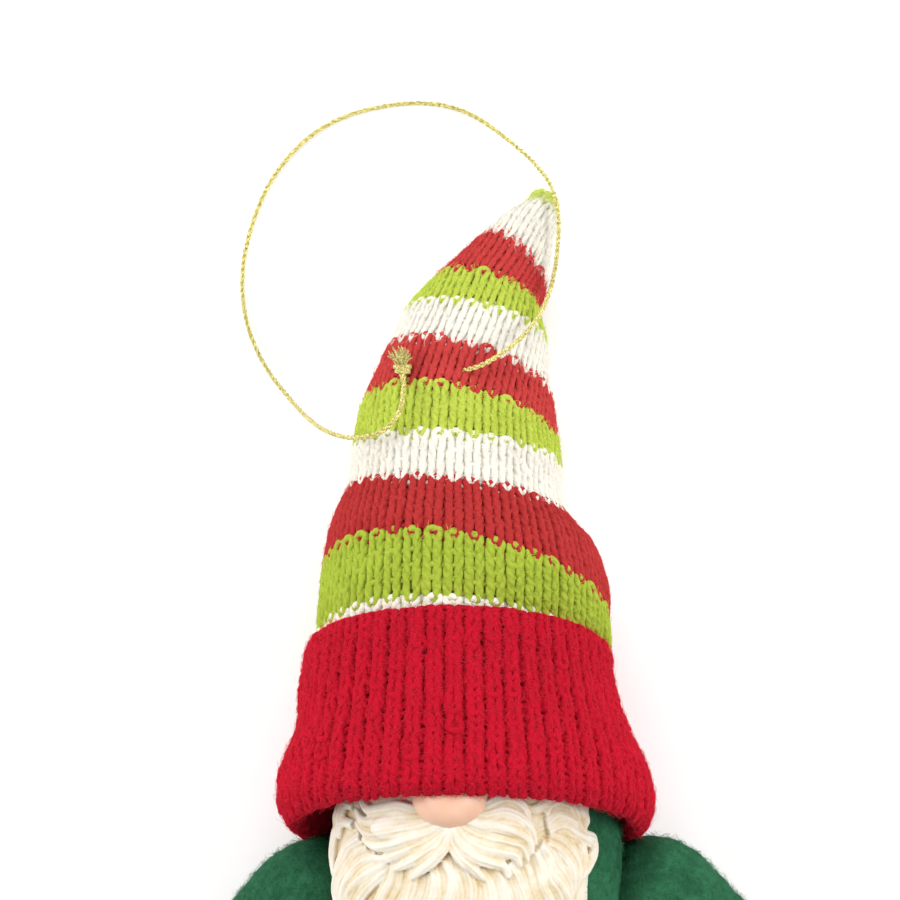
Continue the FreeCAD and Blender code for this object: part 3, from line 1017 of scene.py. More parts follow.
beard_middle = (-2.6, 24.0)          # x and z of the axis that the casting wraps round
beard_outline = [
    # y, half width, half depth
    (-2.0, 15.6, 14.0),
    (-5.0, 16.8, 15.4),
    (-9.0, 17.4, 16.2),
    (-17.0, 18.0, 16.6),
    (-26.0, 17.2, 16.5),
    (-34.0, 12.6, 15.4),
    (-41.0, 6.6, 14.0),
    (-45.0, 2.0, 12.9),
]
moustache_locks = [
    # left half, from under the nose out to the curled tips
    [(-6.6, -6.8), (-9.1, -7.2), (-11.6, -6.9), (-13.8, -7.4), (-15.6, -7.6), (-16.8, -6.2)],
    [(-6.2, -7.6), (-8.8, -8.2), (-11.4, -8.4), (-14.0, -9.0), (-16.2, -9.2), (-17.3, -7.8)],
    [(-5.8, -8.3), (-8.2, -9.2), (-10.9, -9.8), (-13.6, -10.6), (-15.8, -10.7), (-17.2, -9.6)],
    [(-5.4, -8.8), (-7.5, -10.0), (-10.1, -11.0), (-12.7, -12.0), (-14.9, -12.3),
     (-16.3, -11.6)],
    [(-5.0, -9.1), (-6.8, -10.8), (-9.1, -12.0), (-11.5, -13.2), (-13.6, -14.0),
     (-15.0, -13.8)],
    [(-4.6, -9.3), (-5.9, -11.2), (-7.9, -12.8), (-10.0, -14.2), (-12.0, -15.3)],
    [(-4.4, -9.4), (-5.0, -11.5), (-6.4, -13.3), (-8.2, -14.9), (-9.8, -16.4)],
    # right half
    [(-2.0, -6.6), (0.4, -6.7), (2.2, -5.9), (4.0, -6.0), (5.6, -7.2), (6.4, -9.0)],
    [(-2.4, -7.5), (0.6, -7.9), (2.9, -7.5), (5.0, -8.4), (6.6, -10.2), (7.2, -12.0)],
    [(-2.8, -8.2), (-0.4, -9.0), (2.0, -9.2), (4.3, -10.0), (6.0, -11.2), (6.8, -13.2)],
    [(-3.2, -8.7), (-1.3, -10.0), (1.1, -10.8), (3.4, -11.4), (5.2, -12.2), (6.2, -14.2)],
    [(-3.6, -9.0), (-2.2, -10.9), (0.0, -12.1), (2.3, -12.7), (4.4, -13.3), (5.2, -14.9)],
    [(-4.0, -9.2), (-3.2, -11.3), (-1.3, -12.9), (0.9, -13.9), (2.9, -14.7), (3.6, -16.2)],
    [(-4.2, -9.3), (-4.0, -11.5), (-2.9, -13.3), (-1.2, -14.8), (0.2, -16.4)],
]
beard_locks = [
    # radius, then the way that the lock runs
    (0.60, [(5.2, -6.6), (6.5, -7.4), (7.7, -7.2), (9.1, -6.0), (10.0, -4.6)]),
    (0.75, [(8.4, -8.2), (9.7, -6.8), (11.6, -7.4), (12.9, -9.4)]),
    (0.75, [(8.6, -9.4), (10.5, -8.6), (12.1, -9.4), (13.5, -11.0)]),
    (0.65, [(11.1, -5.2), (12.7, -5.6), (13.5, -7.2), (13.3, -9.0)]),
    (0.65, [(12.9, -4.2), (13.9, -5.6), (14.1, -7.4), (13.7, -9.0)]),
    (0.60, [(13.3, -8.3), (14.3, -9.1), (14.4, -10.2), (13.6, -10.9)]),
    (1.05, [(8.7, -10.4), (10.8, -9.9), (12.7, -11.2), (14.3, -12.4), (15.3, -13.3)]),
    (0.95, [(14.2, -12.0), (15.5, -12.9), (15.5, -14.6), (14.5, -16.2), (13.5, -17.6)]),
    (0.90, [(8.9, -10.8), (10.8, -11.8), (12.3, -13.7), (13.2, -16.1), (13.2, -18.4)]),
    (0.80, [(8.7, -11.9), (10.4, -13.0), (11.9, -15.1), (12.4, -17.7), (12.2, -20.4)]),
    (1.10, [(7.6, -12.2), (8.8, -13.4), (9.1, -15.7), (10.4, -17.6), (11.7, -20.2),
            (11.9, -23.6)]),
    (0.85, [(7.1, -13.0), (7.9, -15.3), (8.2, -17.5), (9.2, -19.7), (10.0, -22.6), (9.4, -26.0)]),
    (1.00, [(3.4, -14.2), (4.6, -16.3), (5.6, -18.9), (6.3, -21.1), (7.4, -24.5), (7.0, -28.4)]),
    (0.90, [(1.2, -14.4), (2.6, -16.7), (3.4, -19.3), (3.7, -22.4), (5.1, -26.3), (4.8, -30.8)]),
    (0.85, [(-0.9, -14.4), (0.6, -16.3), (1.2, -18.9), (1.0, -22.1), (2.6, -26.8),
            (2.4, -32.0)]),
    (0.85, [(-2.9, -14.2), (-1.7, -16.4), (-1.6, -18.9), (-2.3, -22.1), (-0.6, -27.6),
            (-0.4, -34.0), (-1.6, -40.6)]),
    (1.00, [(-5.2, -13.8), (-4.1, -16.4), (-4.6, -18.9), (-5.7, -22.4), (-3.9, -28.6),
            (-2.8, -35.4), (-2.4, -43.6)]),
    (0.95, [(-7.2, -13.8), (-6.5, -16.4), (-7.0, -19.1), (-8.4, -22.5), (-7.0, -28.0),
            (-5.0, -34.0), (-3.6, -40.0)]),
    (1.05, [(-9.6, -14.1), (-9.4, -16.4), (-10.2, -19.1), (-11.5, -22.5), (-9.9, -27.4),
            (-7.0, -32.6)]),
    (0.85, [(-11.6, -14.1), (-12.2, -16.4), (-13.4, -18.8), (-14.4, -21.9), (-12.9, -26.6),
            (-10.0, -30.4)]),
    (1.15, [(-12.6, -14.5), (-14.4, -15.6), (-16.3, -16.9), (-17.9, -19.3), (-17.8, -22.6)]),
    (0.85, [(-13.1, -15.6), (-14.6, -17.1), (-16.3, -19.1), (-17.1, -21.9), (-15.6, -25.8)]),
    (1.00, [(-14.2, -13.9), (-16.0, -14.6), (-17.6, -16.5), (-18.9, -19.1), (-19.2, -22.0)]),
    (1.10, [(-16.4, -11.6), (-18.0, -12.9), (-19.2, -15.6), (-20.0, -19.1), (-19.4, -23.2)]),
    (0.75, [(-17.6, -10.0), (-19.3, -10.0), (-20.2, -11.8), (-20.6, -14.8), (-20.5, -17.7)]),
    (0.70, [(-17.6, -7.6), (-19.0, -7.6), (-19.9, -9.0), (-20.2, -11.4)]),
    (0.85, [(-18.2, -5.2), (-19.0, -7.4), (-19.5, -9.8), (-19.6, -12.4)]),
    (0.80, [(-16.4, -4.6), (-17.9, -5.2), (-18.8, -6.8)]),
]


def beard_depth(x, y):
    """Height of the smooth casting above its axis, at x and y."""
    outline = np.array(beard_outline)[::-1]
    half_width = np.interp(y, outline[:, 0], outline[:, 1]) + 1.2
    half_depth = np.interp(y, outline[:, 0], outline[:, 2])
    share = np.clip((x - beard_middle[0]) / half_width, -0.985, 0.985)
    return beard_middle[1] + half_depth * np.sqrt(1 - share ** 2)


def add_lock(shape, way, radius, lift, guides, strands=3, bulge=0.5, root=False):
    """One carved lock: a few tapered strands side by side that meet at both ends.

    guides gathers its middle line and side vectors, for the fine combed grooves. A lock
    with a root is full at its start, where another piece covers it."""
    count = 34
    flat = curve_through([(x, y, 0.0) for x, y in way], count)
    t = np.linspace(0, 1, count)
    swell = np.sin(math.pi * np.clip(t * 0.94 + 0.03, 0, 1)) ** 0.55
    if root:
        swell = np.where(t < 0.5, np.maximum(swell, 0.8), swell)
    raised = beard_depth(flat[:, 0], flat[:, 1]) + lift + bulge * (swell - 0.5)
    path = np.stack([flat[:, 0], flat[:, 1], raised], axis=1)
    tangent = unit(np.gradient(path, axis=0))
    normal = unit(np.stack([
        (flat[:, 0] - beard_middle[0]) * 0.9, np.zeros(count), raised - beard_middle[1]
    ], axis=1))
    side = unit(np.cross(tangent, normal))
    guides.append((path + normal * radius * 0.4, side))
    for strand in range(strands):
        share = (strand - (strands - 1) / 2) / max(1, (strands - 1) / 2)
        offset = share * radius * 0.62 * swell
        depth = -0.22 * radius * abs(share) + 0.05 * np.sin(t * 9 + strand * 2.1)
        line = path + side * offset[:, None] + normal * np.broadcast_to(depth, t.shape)[:, None]
        thick = radius * (0.5 if strands > 1 else 0.9) * (0.18 + 0.82 * swell)
        add_tube(shape, line, thick, 10, normals=normal)


def read_vertices(mesh, field="co"):
    """A field of every vertex, as an (n, 3) array."""
    values = np.zeros(len(mesh.vertices) * 3)
    mesh.vertices.foreach_get(field, values)
    return values.reshape(-1, 3)


def move_vertices(mesh, points):
    """Puts every vertex at its new place, in metres."""
    mesh.vertices.foreach_set("co", points.astype(np.float32).ravel())
    mesh.update()


def store(mesh, name, values):
    """Keeps a number for each vertex, for a paint to read."""
    mesh.attributes.new(name, "FLOAT", "POINT").data.foreach_set("value", values.astype(np.float32))


def remeshed(piece, voxel_mm):
    """One even skin round everything in the piece."""
    modifier = piece.modifiers.new("skin", "REMESH")
    modifier.mode = "VOXEL"
    modifier.voxel_size = voxel_mm * MM
    modifier.use_smooth_shade = True
    graph = bpy.context.evaluated_depsgraph_get()
    mesh = bpy.data.meshes.new_from_object(piece.evaluated_get(graph))
    piece.modifiers.clear()
    old = piece.data
    materials = list(old.materials)
    piece.data = mesh
    mesh.materials.clear()
    for material in materials:
        mesh.materials.append(material)
    mesh.polygons.foreach_set("material_index", np.zeros(len(mesh.polygons), np.int32))
    mesh.polygons.foreach_set("use_smooth", np.ones(len(mesh.polygons), bool))
    bpy.data.meshes.remove(old)
    return piece


def neighbour_mean(points, edges, passes, share=1.0):
    """Points moved towards the mean of their neighbours."""
    count = len(points)
    degree = np.bincount(edges.ravel(), minlength=count)[:, None]
    for _ in range(passes):
        total = np.zeros_like(points)
        for axis in range(points.shape[1]):
            total[:, axis] = (
                np.bincount(edges[:, 0], points[edges[:, 1], axis], count)
                + np.bincount(edges[:, 1], points[edges[:, 0], axis], count)
            )
        points = points + (total / np.maximum(degree, 1) - points) * share
    return points


def smooth_and_mark_recesses(piece, passes, reach, depth_mm):
    """Smooths the mesh a little and stores how deep in a groove each point lies."""
    mesh = piece.data
    points = read_vertices(mesh)
    edges = np.zeros(len(mesh.edges) * 2, np.int32)
    mesh.edges.foreach_get("vertices", edges)
    edges = edges.reshape(-1, 2)
    points = neighbour_mean(points, edges, passes, 0.5)
    move_vertices(mesh, points)
    normals = read_vertices(mesh, "normal")
    far = neighbour_mean(points, edges, reach)
    recess = ((far - points) * normals).sum(axis=1) / (depth_mm * MM)
    recess = neighbour_mean(recess[:, None], edges, 2)[:, 0]
    store(mesh, "recess", recess)


def comb(piece, guides, spacing, depth):
    """Presses fine grooves along the nearest lock, and stores them for the paint."""
    mesh = piece.data
    points = read_vertices(mesh) / MM
    normals = read_vertices(mesh, "normal")
    middles = np.concatenate([path for path, _ in guides])
    sides = np.concatenate([side for _, side in guides])
    shifts = np.repeat([index * 0.37 % 1 for index in range(len(guides))],
                       [len(path) for path, _ in guides])
    tree = KDTree(len(middles))
    for index, middle in enumerate(middles):
        tree.insert(middle, index)
    tree.balance()
    nearest = np.zeros(len(points), int)
    far = np.zeros(len(points))
    for index, point in enumerate(points):
        _, nearest[index], far[index] = tree.find(point)
    offset = ((points - middles[nearest]) * sides[nearest]).sum(axis=1)
    offset = offset + 0.10 * ripple(points, 3.0, 61)
    wave = np.abs(np.sin(math.pi * (offset / spacing + shifts[nearest]))) ** 0.7
    weight = np.clip(2.2 - far, 0, 1) * np.clip((normals[:, 2] + 0.2) * 3, 0, 1)
    groove = (1 - wave) * weight
    move_vertices(mesh, (points - normals * (groove * depth)[:, None]) * MM)
    store(mesh, "groove", groove)


def lay_on_coat(piece):
    """Presses what would come through the coat back into the thickness of its cloth."""
    mesh = piece.data
    points = read_vertices(mesh) / MM
    rings = np.array(coat_rings)[::-1]
    half_width, half_depth, middle = (
        np.interp(points[:, 1], rings[:, 3], rings[:, column]) for column in (1, 2, 4)
    )
    across = points[:, 0] / (half_width - 0.8)
    up = (points[:, 2] - middle) / (half_depth - 0.8)
    reach = np.sqrt(across ** 2 + up ** 2)
    inside = (reach < 1) & (points[:, 1] < -17.0) & (up > 0.1)
    grow = np.where(inside, 1 / np.maximum(reach, 0.3), 1.0)
    points[:, 0] *= grow
    points[:, 2] = middle + (points[:, 2] - middle) * grow
    move_vertices(mesh, points * MM)


def beard_paint():
    """Cream resin, darker and more ochre in the hollows and combed grooves: partly the casting's ochre
    paint, partly painted shade.
    """
    paint = Paint("beard_paint", roughness=0.5, specular=0.35, subsurface=0.12)
    recess = paint.attribute("recess")
    groove = paint.attribute("groove")
    patch = paint.noise(4.5, detail=3.0)
    fine = paint.noise(0.5, detail=4.0)
    # partly painted shade, partly real ochre paint: recess and groove depth darken the cream towards
    # ochre; the noises add random patches
    ochre_and_shade = paint.times(recess, 0.48)
    ochre_and_shade = paint.add(ochre_and_shade, paint.times(groove, 0.22))
    ochre_and_shade = paint.add(ochre_and_shade, paint.times(paint.math("SUBTRACT", patch, 0.5), 1.1))
    ochre_and_shade = paint.add(ochre_and_shade, paint.times(paint.math("SUBTRACT", fine, 0.5), 0.3))
    ochre_and_shade = paint.add(ochre_and_shade, 0.38)
    tone = paint.ramp(ochre_and_shade, [
        (0.05, linear(230, 224, 213)),
        (0.38, linear(222, 213, 195)),
        (0.64, linear(212, 194, 158)),
        (1.0, linear(182, 146, 94)),
    ])
    paint.colour(tone)
    paint.bump(fine, 0.04, 0.4)
    return paint.material


def beard():
    """Cast beard and moustache, carved in locks."""
    shape = Shape()
    rows = beard_outline
    turns = np.linspace(math.radians(16), math.radians(164), 60)
    ys = np.linspace(rows[0][0], rows[-1][0], 70)
    knots = [-y for y, _, _ in rows]
    sizes = smooth_between(knots, [(w, d) for _, w, d in rows], -ys)
    outer = np.stack([
        beard_middle[0] + np.cos(turns)[None] * (sizes[:, :1] + 0.2),
        np.repeat(ys[:, None], 60, axis=1),
        beard_middle[1] + np.sin(turns)[None] * (sizes[:, 1:] - 0.1),
    ], axis=-1)
    inner = outer.copy()
    inner[..., 0] = beard_middle[0] + (outer[..., 0] - beard_middle[0]) * 0.86
    inner[..., 2] = outer[..., 2] - 3.0
    loop = np.concatenate([outer, inner[:, ::-1]], axis=1)
    add_capped(shape, loop)
    guides = []
    for radius, way in beard_locks:
        add_lock(shape, way, radius * 1.15, -0.25, guides, strands=3, bulge=0.5, root=True)
    for (radius, way), (_, other) in zip(beard_locks[:-1], beard_locks[1:]):
        one = curve_through([(x, y, 0.0) for x, y in way], 7)
        two = curve_through([(x, y, 0.0) for x, y in other], 7)
        if np.abs(one - two).max() < 5.5:
            between = (one + two)[:, :2] / 2
            add_lock(shape, between, radius * 1.1, -0.5, guides, strands=3, bulge=0.4, root=True)
    for index, way in enumerate(moustache_locks):
        lift = (0.6, 0.35, 0.5)[index % 3]
        add_lock(shape, way, 0.85, lift, guides, strands=3, bulge=0.7, root=True)
    for centre, size in (((-10.6, -9.8), (4.4, 2.2)), ((1.8, -9.4), (4.0, 2.0))):
        z = beard_depth(centre[0], centre[1])
        add_ball(shape, (*centre, z - 0.6), (*size, 1.3))
    piece = shape.build("carved_beard", [beard_paint()])
    remeshed(piece, 0.15)
    lay_on_coat(piece)
    smooth_and_mark_recesses(piece, passes=4, reach=30, depth_mm=0.30)
    comb(piece, guides, spacing=0.60, depth=0.075)
    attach(piece, "torso")
    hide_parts("beard_casting")


def nose():
    """Smooth peach bead."""
    paint = Paint("nose_paint", roughness=0.38, specular=0.45, subsurface=0.25)
    blush = paint.noise(5.0, detail=2.0)
    fine = paint.noise(0.4, detail=4.0)
    tone = paint.ramp(blush, [(0.3, linear(228, 180, 152)), (0.7, linear(236, 196, 170))])
    paint.colour(tone)
    paint.bump(fine, 0.015, 0.5)
    low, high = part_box("nose_bead")
    centre = (Vector(low) + Vector(high)) / 2 / MM
    size = (Vector(high) - Vector(low)) / 2 / MM
    shape = Shape()
    add_ball(shape, centre, (size.x * 1.0, size.y * 1.0, size.z), 72, 40)
    piece = shape.build("bead_nose", [paint.material], "torso")
    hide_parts("nose_bead")


# ---- coat, limbs and boots -----------------------------------------------------------

coat_rings = [
    # distance, half width, half depth, y, middle z
    (0, 17.4, 12.6, -4.6, 19.2),
    (4, 19.2, 14.4, -8.6, 19.0),
    (8, 20.2, 15.2, -12.8, 18.8),
    (11.5, 20.4, 15.8, -16.5, 18.6),
    (18, 20.4, 16.8, -23.0, 18.4),
    (27, 18.9, 17.4, -32.0, 18.1),
    (35.5, 19.4, 17.8, -40.5, 18.0),
    (42.5, 21.2, 17.4, -47.5, 17.6),
    (47, 20.6, 16.6, -52.0, 17.0),
]


def fleece_paint(name, colour):
    """Felted pile in light and dark tufts."""
    paint = Paint(name, roughness=0.95, sheen=0.2, specular=0.05, tint=colour)
    nap = paint.noise(0.45, detail=5.0, rough=0.85)
    pile = paint.noise(1.5, detail=3.0, rough=0.6)
    patch = paint.noise(6.0, detail=3.0)
    tone = paint.ramp(nap, [(0.35, shaded(colour, 0.42)), (0.65, shaded(colour, 1.45))])
    tone = paint.mix(0.5, tone, paint.ramp(pile, [(0.35, shaded(colour, 0.55)),
                                                  (0.65, shaded(colour, 1.25))]))
    tone = paint.mix(0.35, tone, paint.ramp(patch, [(0.35, shaded(colour, 0.5)),
                                                    (0.65, shaded(colour, 1.2))]))
    paint.colour(tone)
    height = paint.add(nap, paint.times(pile, 1.6))
    paint.bump(height, 0.3, 0.9)
    return paint.material


nap_slot = 1


def fleece_materials():
    """The cloth, and the nap that stands on it."""
    colour = linear(49, 106, 74)
    return [
        fleece_paint("green_fleece_cloth", colour),
        # painted highlight: the nap is a lighter copy of the cloth colour
        plain_fibre_paint("green_fleece_nap", shaded(colour, 1.25), 0.35),
    ]


def grid_normals(grid):
    """Outward normals of a closed (rows, columns, 3) grid, taking columns as wrapped."""
    wide = np.concatenate([grid[:, -1:], grid, grid[:, :1]], axis=1)
    d_row = np.gradient(wide, axis=0)
    d_column = np.gradient(wide, axis=1)
    normals = unit(np.cross(d_column, d_row))[:, 1:-1]
    middle = grid.mean(axis=1, keepdims=True)
    if (normals * (grid - middle)).sum() < 0:
        normals = -normals
    return normals


coat_columns = 240
coat_hem = 44.2             # distance of the hem's seam, as in coat_rings
coat_cloth = 1.1            # its thickness
inside_rows = 26            # how far up the inside is made


def add_nap(shape, grid, count, above):
    """The fleece's loose fibres, on all of a grid that is higher than above."""
    roots = grid.reshape(-1, 3)
    outward = grid_normals(grid).reshape(-1, 3)
    keep = roots[:, 2] > above
    add_fibres(shape, roots[keep], outward[keep], count, length=1.1, lift=0.9,
               thickness=0.03, material=nap_slot)


def coat(materials):
    """Fleece coat: soft creases, side seams and a turned hem."""
    rows = np.array([ring[0] for ring in coat_rings], float)
    table = np.array([ring[1:] for ring in coat_rings], float)
    places = np.linspace(rows[0], rows[-1], 120)
    read = smooth_between(rows, table, places)
    turns = full_turn(coat_columns)
    grid = np.stack([
        np.cos(turns)[None] * read[:, :1],
        np.repeat(read[:, 2:3], coat_columns, axis=1),
        read[:, 3:4] + np.sin(turns)[None] * read[:, 1:2],
    ], axis=-1)
    normals = grid_normals(grid)
    crease = ripple(grid * [1.0, 0.35, 1.0], 11.0, 21) * 0.45
    crease = crease + ripple(grid, 4.0, 22) * 0.12
    seam = np.exp(-((np.abs(np.cos(turns)) - 1) / 0.0025) ** 2)[None] * -0.55
    hem = -0.7 * np.exp(-((places - coat_hem) / 0.35) ** 2)[:, None]
    under = np.clip(1 - grid[..., 2] / 3.0, 0, 1)
    shift = (crease + seam + hem - 0.35) * (1 - under)
    grid = grid + normals * shift[..., None]
    grid[..., 2] = np.maximum(grid[..., 2], 0.05)
    shape = Shape()
    add_grid(shape, grid, True)
    inner = grid[-inside_rows:] - grid_normals(grid)[-inside_rows:] * coat_cloth
    add_grid(shape, np.stack([grid[-1], inner[-1]]), True)
    add_grid(shape, inner, True, flip=True)
    add_fan(shape, inner[0], inner[0].mean(axis=0))
    add_fan(shape, grid[0], grid[0].mean(axis=0), flip=True)
    add_nap(shape, grid, 9000, above=1.5)
    piece = shape.build("fleece_coat", materials, "torso")
    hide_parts("coat_body", "body_stuffing")


def limb_grid(centre, direction, profile, columns, seed, crease_mm, floor):
    """Grid of a soft tube along direction; profile is (distance, radius)."""
    direction = unit(np.asarray(direction, float))
    side = unit(np.cross(direction, [0.0, 0.0, 1.0]))
    out = np.cross(side, direction)
    knots = [p[0] for p in profile]
    places = np.linspace(knots[0], knots[-1], 90)
    radius = smooth_between(knots, [p[1] for p in profile], places)
    turns = full_turn(columns)
    ring = np.cos(turns)[:, None] * side + np.sin(turns)[:, None] * out
    grid = (
        np.asarray(centre)[None, None]
        + places[:, None, None] * direction
        + radius[:, None, None] * ring[None]
    )
    normals = grid_normals(grid)
    fold = ripple(grid, 9.0, seed) * crease_mm
    bands = np.sin(places * 1.15 + 1.3)[:, None] * np.clip(np.sin(turns + seed), 0, 1)[None]
    grid = grid + normals * (fold + bands * crease_mm * 0.9 - crease_mm)[..., None]
    grid[..., 2] = np.maximum(grid[..., 2], floor)
    return grid, places, direction


def end_ring(shape, grid, depth, direction):
    """Turns the last ring in on itself, as a hem does."""
    last = grid[-1]
    centre = last.mean(axis=0)
    lip = last + (centre - last) * 0.10 + direction * 0.35
    inside = last + (centre - last) * 0.18 - direction * depth
    add_grid(shape, np.stack([last, lip, inside]), True)


def mean_point(node):
    """Middle of a CAD node's vertices, in millimetres."""
    return read_vertices(frame["nodes"][node].data).mean(axis=0) / MM


def joint_place(name):
    """Where a joint's axis is, in millimetres."""
    joint = next(joint for joint in frame["joints"] if joint["name"] == name)
    return np.array(joint["pos_m"]) / MM


sleeve_shift = np.array([0.9, 0.3, 0.3])
sleeve_profile = [
    # distance from the shoulder, radius
    (-8.6, 2.0), (-7.6, 4.6), (-4.5, 7.6), (0.0, 9.0), (6.0, 9.1), (13.0, 8.7), (19.0, 8.0),
    (21.0, 7.9),
]
sleeve_hem = 18.6
mitten_lumps = [
    # along the arm, across it, up, half sizes: wrist, cuff, palm, fingers, thumb
    (17.6, 0.0, 0.0, (3.4, 4.5, 4.4)),
    (22.2, 0.0, 0.0, (1.1, 5.3, 4.9)),
    (26.9, 0.2, 0.0, (5.9, 5.5, 4.3)),
    (29.6, 0.4, 0.2, (4.0, 5.0, 3.8)),
    (25.0, -4.9, 1.4, (3.7, 2.0, 2.0)),
]
thumb = 4
cuff_start = 21.0
cuff_step = 0.95


def arm(side, materials, mitten_paint):
    """Fleece sleeve from the shoulder, and a cast mitten."""
    centre = joint_place(side + "_shoulder")
    direction = unit(mean_point(side + "_arm_stuffing") - centre)
    grid, places, direction = limb_grid(
        centre + sleeve_shift, direction, sleeve_profile, columns=150, seed=31, crease_mm=0.3, floor=1.0
    )
    shape = Shape()
    hem = np.exp(-((places - sleeve_hem) / 0.3) ** 2)[:, None, None]
    grid = grid - grid_normals(grid) * hem * 0.5
    add_grid(shape, grid, True)
    add_fan(shape, grid[0], grid[0].mean(axis=0), flip=True)
    end_ring(shape, grid, 2.5, direction)
    add_nap(shape, grid, 4200, above=2.0)
    piece = shape.build(side + "_fleece_sleeve", materials)
    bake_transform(piece)
    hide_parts(side + "_sleeve")
    mitten(side, centre, direction, mitten_paint)


def mitten(side, centre, direction, paint):
    """Cast mitten: palm, fingers and thumb, with a ribbed cuff."""
    hand = Shape()
    inward = 1 if side == "right" else -1
    flat = unit(np.array([direction[0], direction[1], 0.0]))
    across = np.array([-flat[1], flat[0], 0.0])
    up = unit(np.cross(direction, across))
    up = up if up[2] > 0 else -up
    axes = np.stack([direction, across, up])
    for index, (along, wide, high, sizes) in enumerate(mitten_lumps):
        if index == thumb:
            wide = wide * inward
        ball = Shape()
        add_ball(ball, (0, 0, 0), sizes, 36, 20)
        middle = centre + direction * along + across * wide + up * high
        placed = np.concatenate(ball.points) @ axes + middle
        for faces, uvs, material in ball.faces:
            hand.faces.append((faces + hand.count, uvs, material))
        hand.points.append(placed)
        hand.count += len(placed)
    for ring in range(3):
        place = cuff_start + ring * cuff_step
        angle = full_turn(60)
        loop = (
            centre + direction * place
            + np.cos(angle)[:, None] * across * 5.0
            + np.sin(angle)[:, None] * up * 4.6
        )
        add_tube(hand, loop, 0.62, 8, closed=True)
    made = hand.build(side + "_cast_mitten", [paint])
    remeshed(made, 0.3)
    smooth_and_mark_recesses(made, passes=4, reach=14, depth_mm=0.4)
    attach(made, side + "_arm")
    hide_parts(side + "_mitten")


def mitten_finish():
    """Crimson resin, cast with the look of knitting; darker in its hollows as painted shade and lighter
    on its ridges as painted highlight.
    """
    paint = Paint("mitten_paint", roughness=0.42, specular=0.45)
    recess = paint.attribute("recess")
    stitch = paint.noise(0.9, detail=3.0, stretch=(1.0, 2.2, 1.0))
    colour = linear(168, 26, 40)
    # painted light: the ramp darkens the crimson in recesses and lightens it on ridges
    tone = paint.ramp(paint.add(recess, paint.times(stitch, 0.5)), [
        (0.1, shaded(colour, 1.2)), (0.5, colour), (1.0, shaded(colour, 0.4))])
    paint.colour(tone)
    paint.bump(stitch, 0.12, 0.7)
    return paint.material


def wool_paint():
    """Grey-brown woven cloth with a fine over-and-under weave."""
    paint = Paint("trouser_wool", roughness=0.9, sheen=0.3, specular=0.15)
    place = paint.place()
    split = paint.nodes.new("ShaderNodeSeparateXYZ")
    paint.link(place, split.inputs["Vector"])
    thread = 2 * math.pi / (0.55 * MM)
    warp = paint.math("SINE", paint.times(split.outputs["X"], thread))
    weft = paint.math("SINE", paint.times(split.outputs["Y"], thread))
    weave = paint.times(warp, weft)
    fleck = paint.noise(0.5, detail=4.0, rough=0.8)
    height = paint.add(paint.times(weave, 0.5), fleck)
    colour = linear(112, 100, 90)
    tone = paint.ramp(height, [(0.1, shaded(colour, 0.55)), (0.9, shaded(colour, 1.4))])
    paint.colour(tone)
    paint.bump(height, 0.14, 0.8)
    return paint.material


def boot_finish():
    """Brown resin with random scuffs, darker in its creases as painted shade and paler on its edges as
    wear and painted highlight.
    """
    paint = Paint("boot_paint", roughness=0.4, specular=0.5)
    recess = paint.attribute("recess")
    scuff = paint.noise(2.4, detail=5.0, rough=0.7)
    grain = paint.noise(0.35, detail=3.0)
    colour = linear(74, 50, 36)
    # painted shade in the creases from the recess depth; the scuff noise is random wear; the pale end
    # on edges is partly wear, partly painted highlight
    crease_shade_and_scuff = paint.add(paint.times(recess, 0.7), paint.times(scuff, 0.5))
    tone = paint.ramp(crease_shade_and_scuff, [
        (0.05, shaded(colour, 1.9)), (0.35, colour), (0.9, shaded(colour, 0.4))])
    paint.colour(tone)
    paint.bump(grain, 0.06, 0.7)
    return paint.material


boot_rings = [
    # y, middle z, half width, half depth
    (-64.6, 9.4, 5.2, 5.2),
    (-66.6, 9.4, 5.3, 5.3),
    (-68.6, 9.3, 5.7, 6.0),
    (-70.4, 9.4, 6.4, 7.4),
    (-72.6, 10.1, 6.9, 9.3),
    (-75.0, 10.8, 7.2, 10.4),
    (-76.9, 11.0, 7.1, 10.6),
]


trouser_profile = [
    # distance from the hip, radius
    (-7.0, 2.0), (-5.8, 4.4), (-3.2, 6.6), (0.0, 7.4), (5.0, 7.4), (10.0, 6.9), (11.5, 6.8),
]
sole_rings = [(-76.4, -0.2), (-76.5, 0.25), (-78.5, 0.25)]      # y, how much wider than the boot
welts = [(-65.2, 0.75), (-70.2, 0.4)]                           # y, thickness
boot_columns = 96
lace_start = -67.6
lace_step = 1.5


def leg(side, wool, boot_paint):
    """Woven trouser leg from the hip, and a cast boot."""
    centre = joint_place(side + "_hip")
    grid, _, direction = limb_grid(
        centre, (0, -1, 0), trouser_profile, columns=130, seed=41, crease_mm=0.25, floor=1.2
    )
    shape = Shape()
    add_grid(shape, grid, True)
    add_fan(shape, grid[0], grid[0].mean(axis=0), flip=True)
    end_ring(shape, grid, 2.0, direction)
    piece = shape.build(side + "_wool_trouser_leg", [wool])
    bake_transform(piece)
    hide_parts(side + "_trouser_leg")
    cast_boot(side, boot_paint)


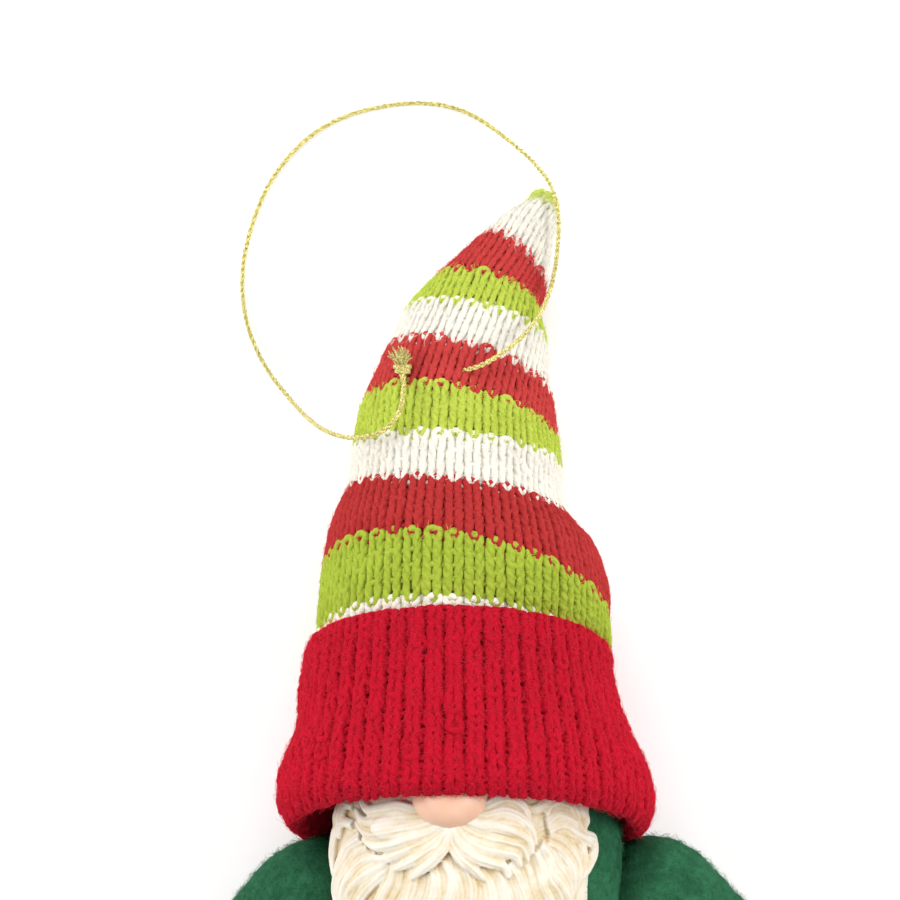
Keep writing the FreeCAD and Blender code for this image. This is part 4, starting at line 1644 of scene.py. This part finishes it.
def cast_boot(side, paint):
    """Upper, sole, two welts and three laces, in one casting."""
    low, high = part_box(side + "_boot")
    middle_x = (low.x + high.x) / 2 / MM
    boot = Shape()
    knots = [-ring[0] for ring in boot_rings]
    places = np.linspace(knots[0], knots[-1], 40)
    read = smooth_between(knots, [ring[1:] for ring in boot_rings], places)
    turns = full_turn(boot_columns)
    upper = np.stack([
        middle_x + np.cos(turns)[None] * read[:, 1:2],
        np.repeat(-places[:, None], boot_columns, axis=1),
        read[:, :1] + np.sin(turns)[None] * read[:, 2:3],
    ], axis=-1)
    add_capped(boot, upper)
    last = upper[-1]
    hub = last.mean(axis=0)
    sole = []
    for y, grow in [*sole_rings, (low.y / MM, 0.0)]:
        ring = hub + (last - hub) * (1 + grow / 8)
        ring[:, 1] = y
        ring[:, 2] = np.maximum(ring[:, 2], 0.1)
        sole.append(ring)
    add_capped(boot, np.stack(sole))
    for y, size in welts:
        ring = smooth_between(knots, [r[1:] for r in boot_rings], np.array([-y]))[0]
        loop = np.stack([
            middle_x + np.cos(turns) * (ring[1] + 0.1),
            np.full(boot_columns, y),
            ring[0] + np.sin(turns) * (ring[2] + 0.1),
        ], axis=1)
        add_tube(boot, loop, size, 8, closed=True)
    for lace in range(3):
        y = lace_start - lace * lace_step
        span = np.linspace(-0.9, 0.9, 14)
        ring = smooth_between(knots, [r[1:] for r in boot_rings], np.array([-y]))[0]
        line = np.stack([
            middle_x + np.sin(span) * ring[1] * 0.6,
            y + 0.5 * span * (1 if lace % 2 else -1),
            ring[0] + np.cos(span * 0.75) * (ring[2] + 0.35),
        ], axis=1)
        add_tube(boot, line, 0.32, 8)
    made = boot.build(side + "_cast_boot", [paint])
    remeshed(made, 0.28)
    smooth_and_mark_recesses(made, passes=1, reach=14, depth_mm=0.4)
    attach(made, side + "_leg")
    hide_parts(side + "_boot")


# ---- inner pieces that keep their CAD shape ------------------------------------------

def inner_pieces():
    """Foam head and the limbs' fill keep their CAD shape and get their own finish."""
    foam = Paint("head_foam_skin", roughness=0.7, specular=0.2)
    cells = foam.noise(0.8, detail=4.0)
    # a dark skin tone: partly the face's paint, partly painted shade for the gap between brim and
    # beard, where the head shows
    foam.colour(foam.ramp(cells, [(0.3, linear(150, 96, 74)), (0.7, linear(196, 142, 112))]))
    foam.bump(cells, 0.08, 0.7)
    fill = plain_fibre_paint("limb_fill", linear(236, 234, 228), 0.1)
    chosen = {"head_ball": foam.material}
    for side in ("left", "right"):
        chosen[side + "_arm_stuffing"] = fill
        chosen[side + "_leg_stuffing"] = fill
    for node, material in chosen.items():
        mesh = frame["nodes"][node].data
        mesh.materials.clear()
        mesh.materials.append(material)


# ---- build ---------------------------------------------------------------------------

studio()
hanging_cord()
hat_crown()
hat_cuff()
beard()
nose()
fleece = fleece_materials()
coat(fleece)
mitten_paint = mitten_finish()
wool = wool_paint()
boot_paint = boot_finish()
for side in ("left", "right"):
    arm(side, fleece, mitten_paint)
    leg(side, wool, boot_paint)
inner_pieces()
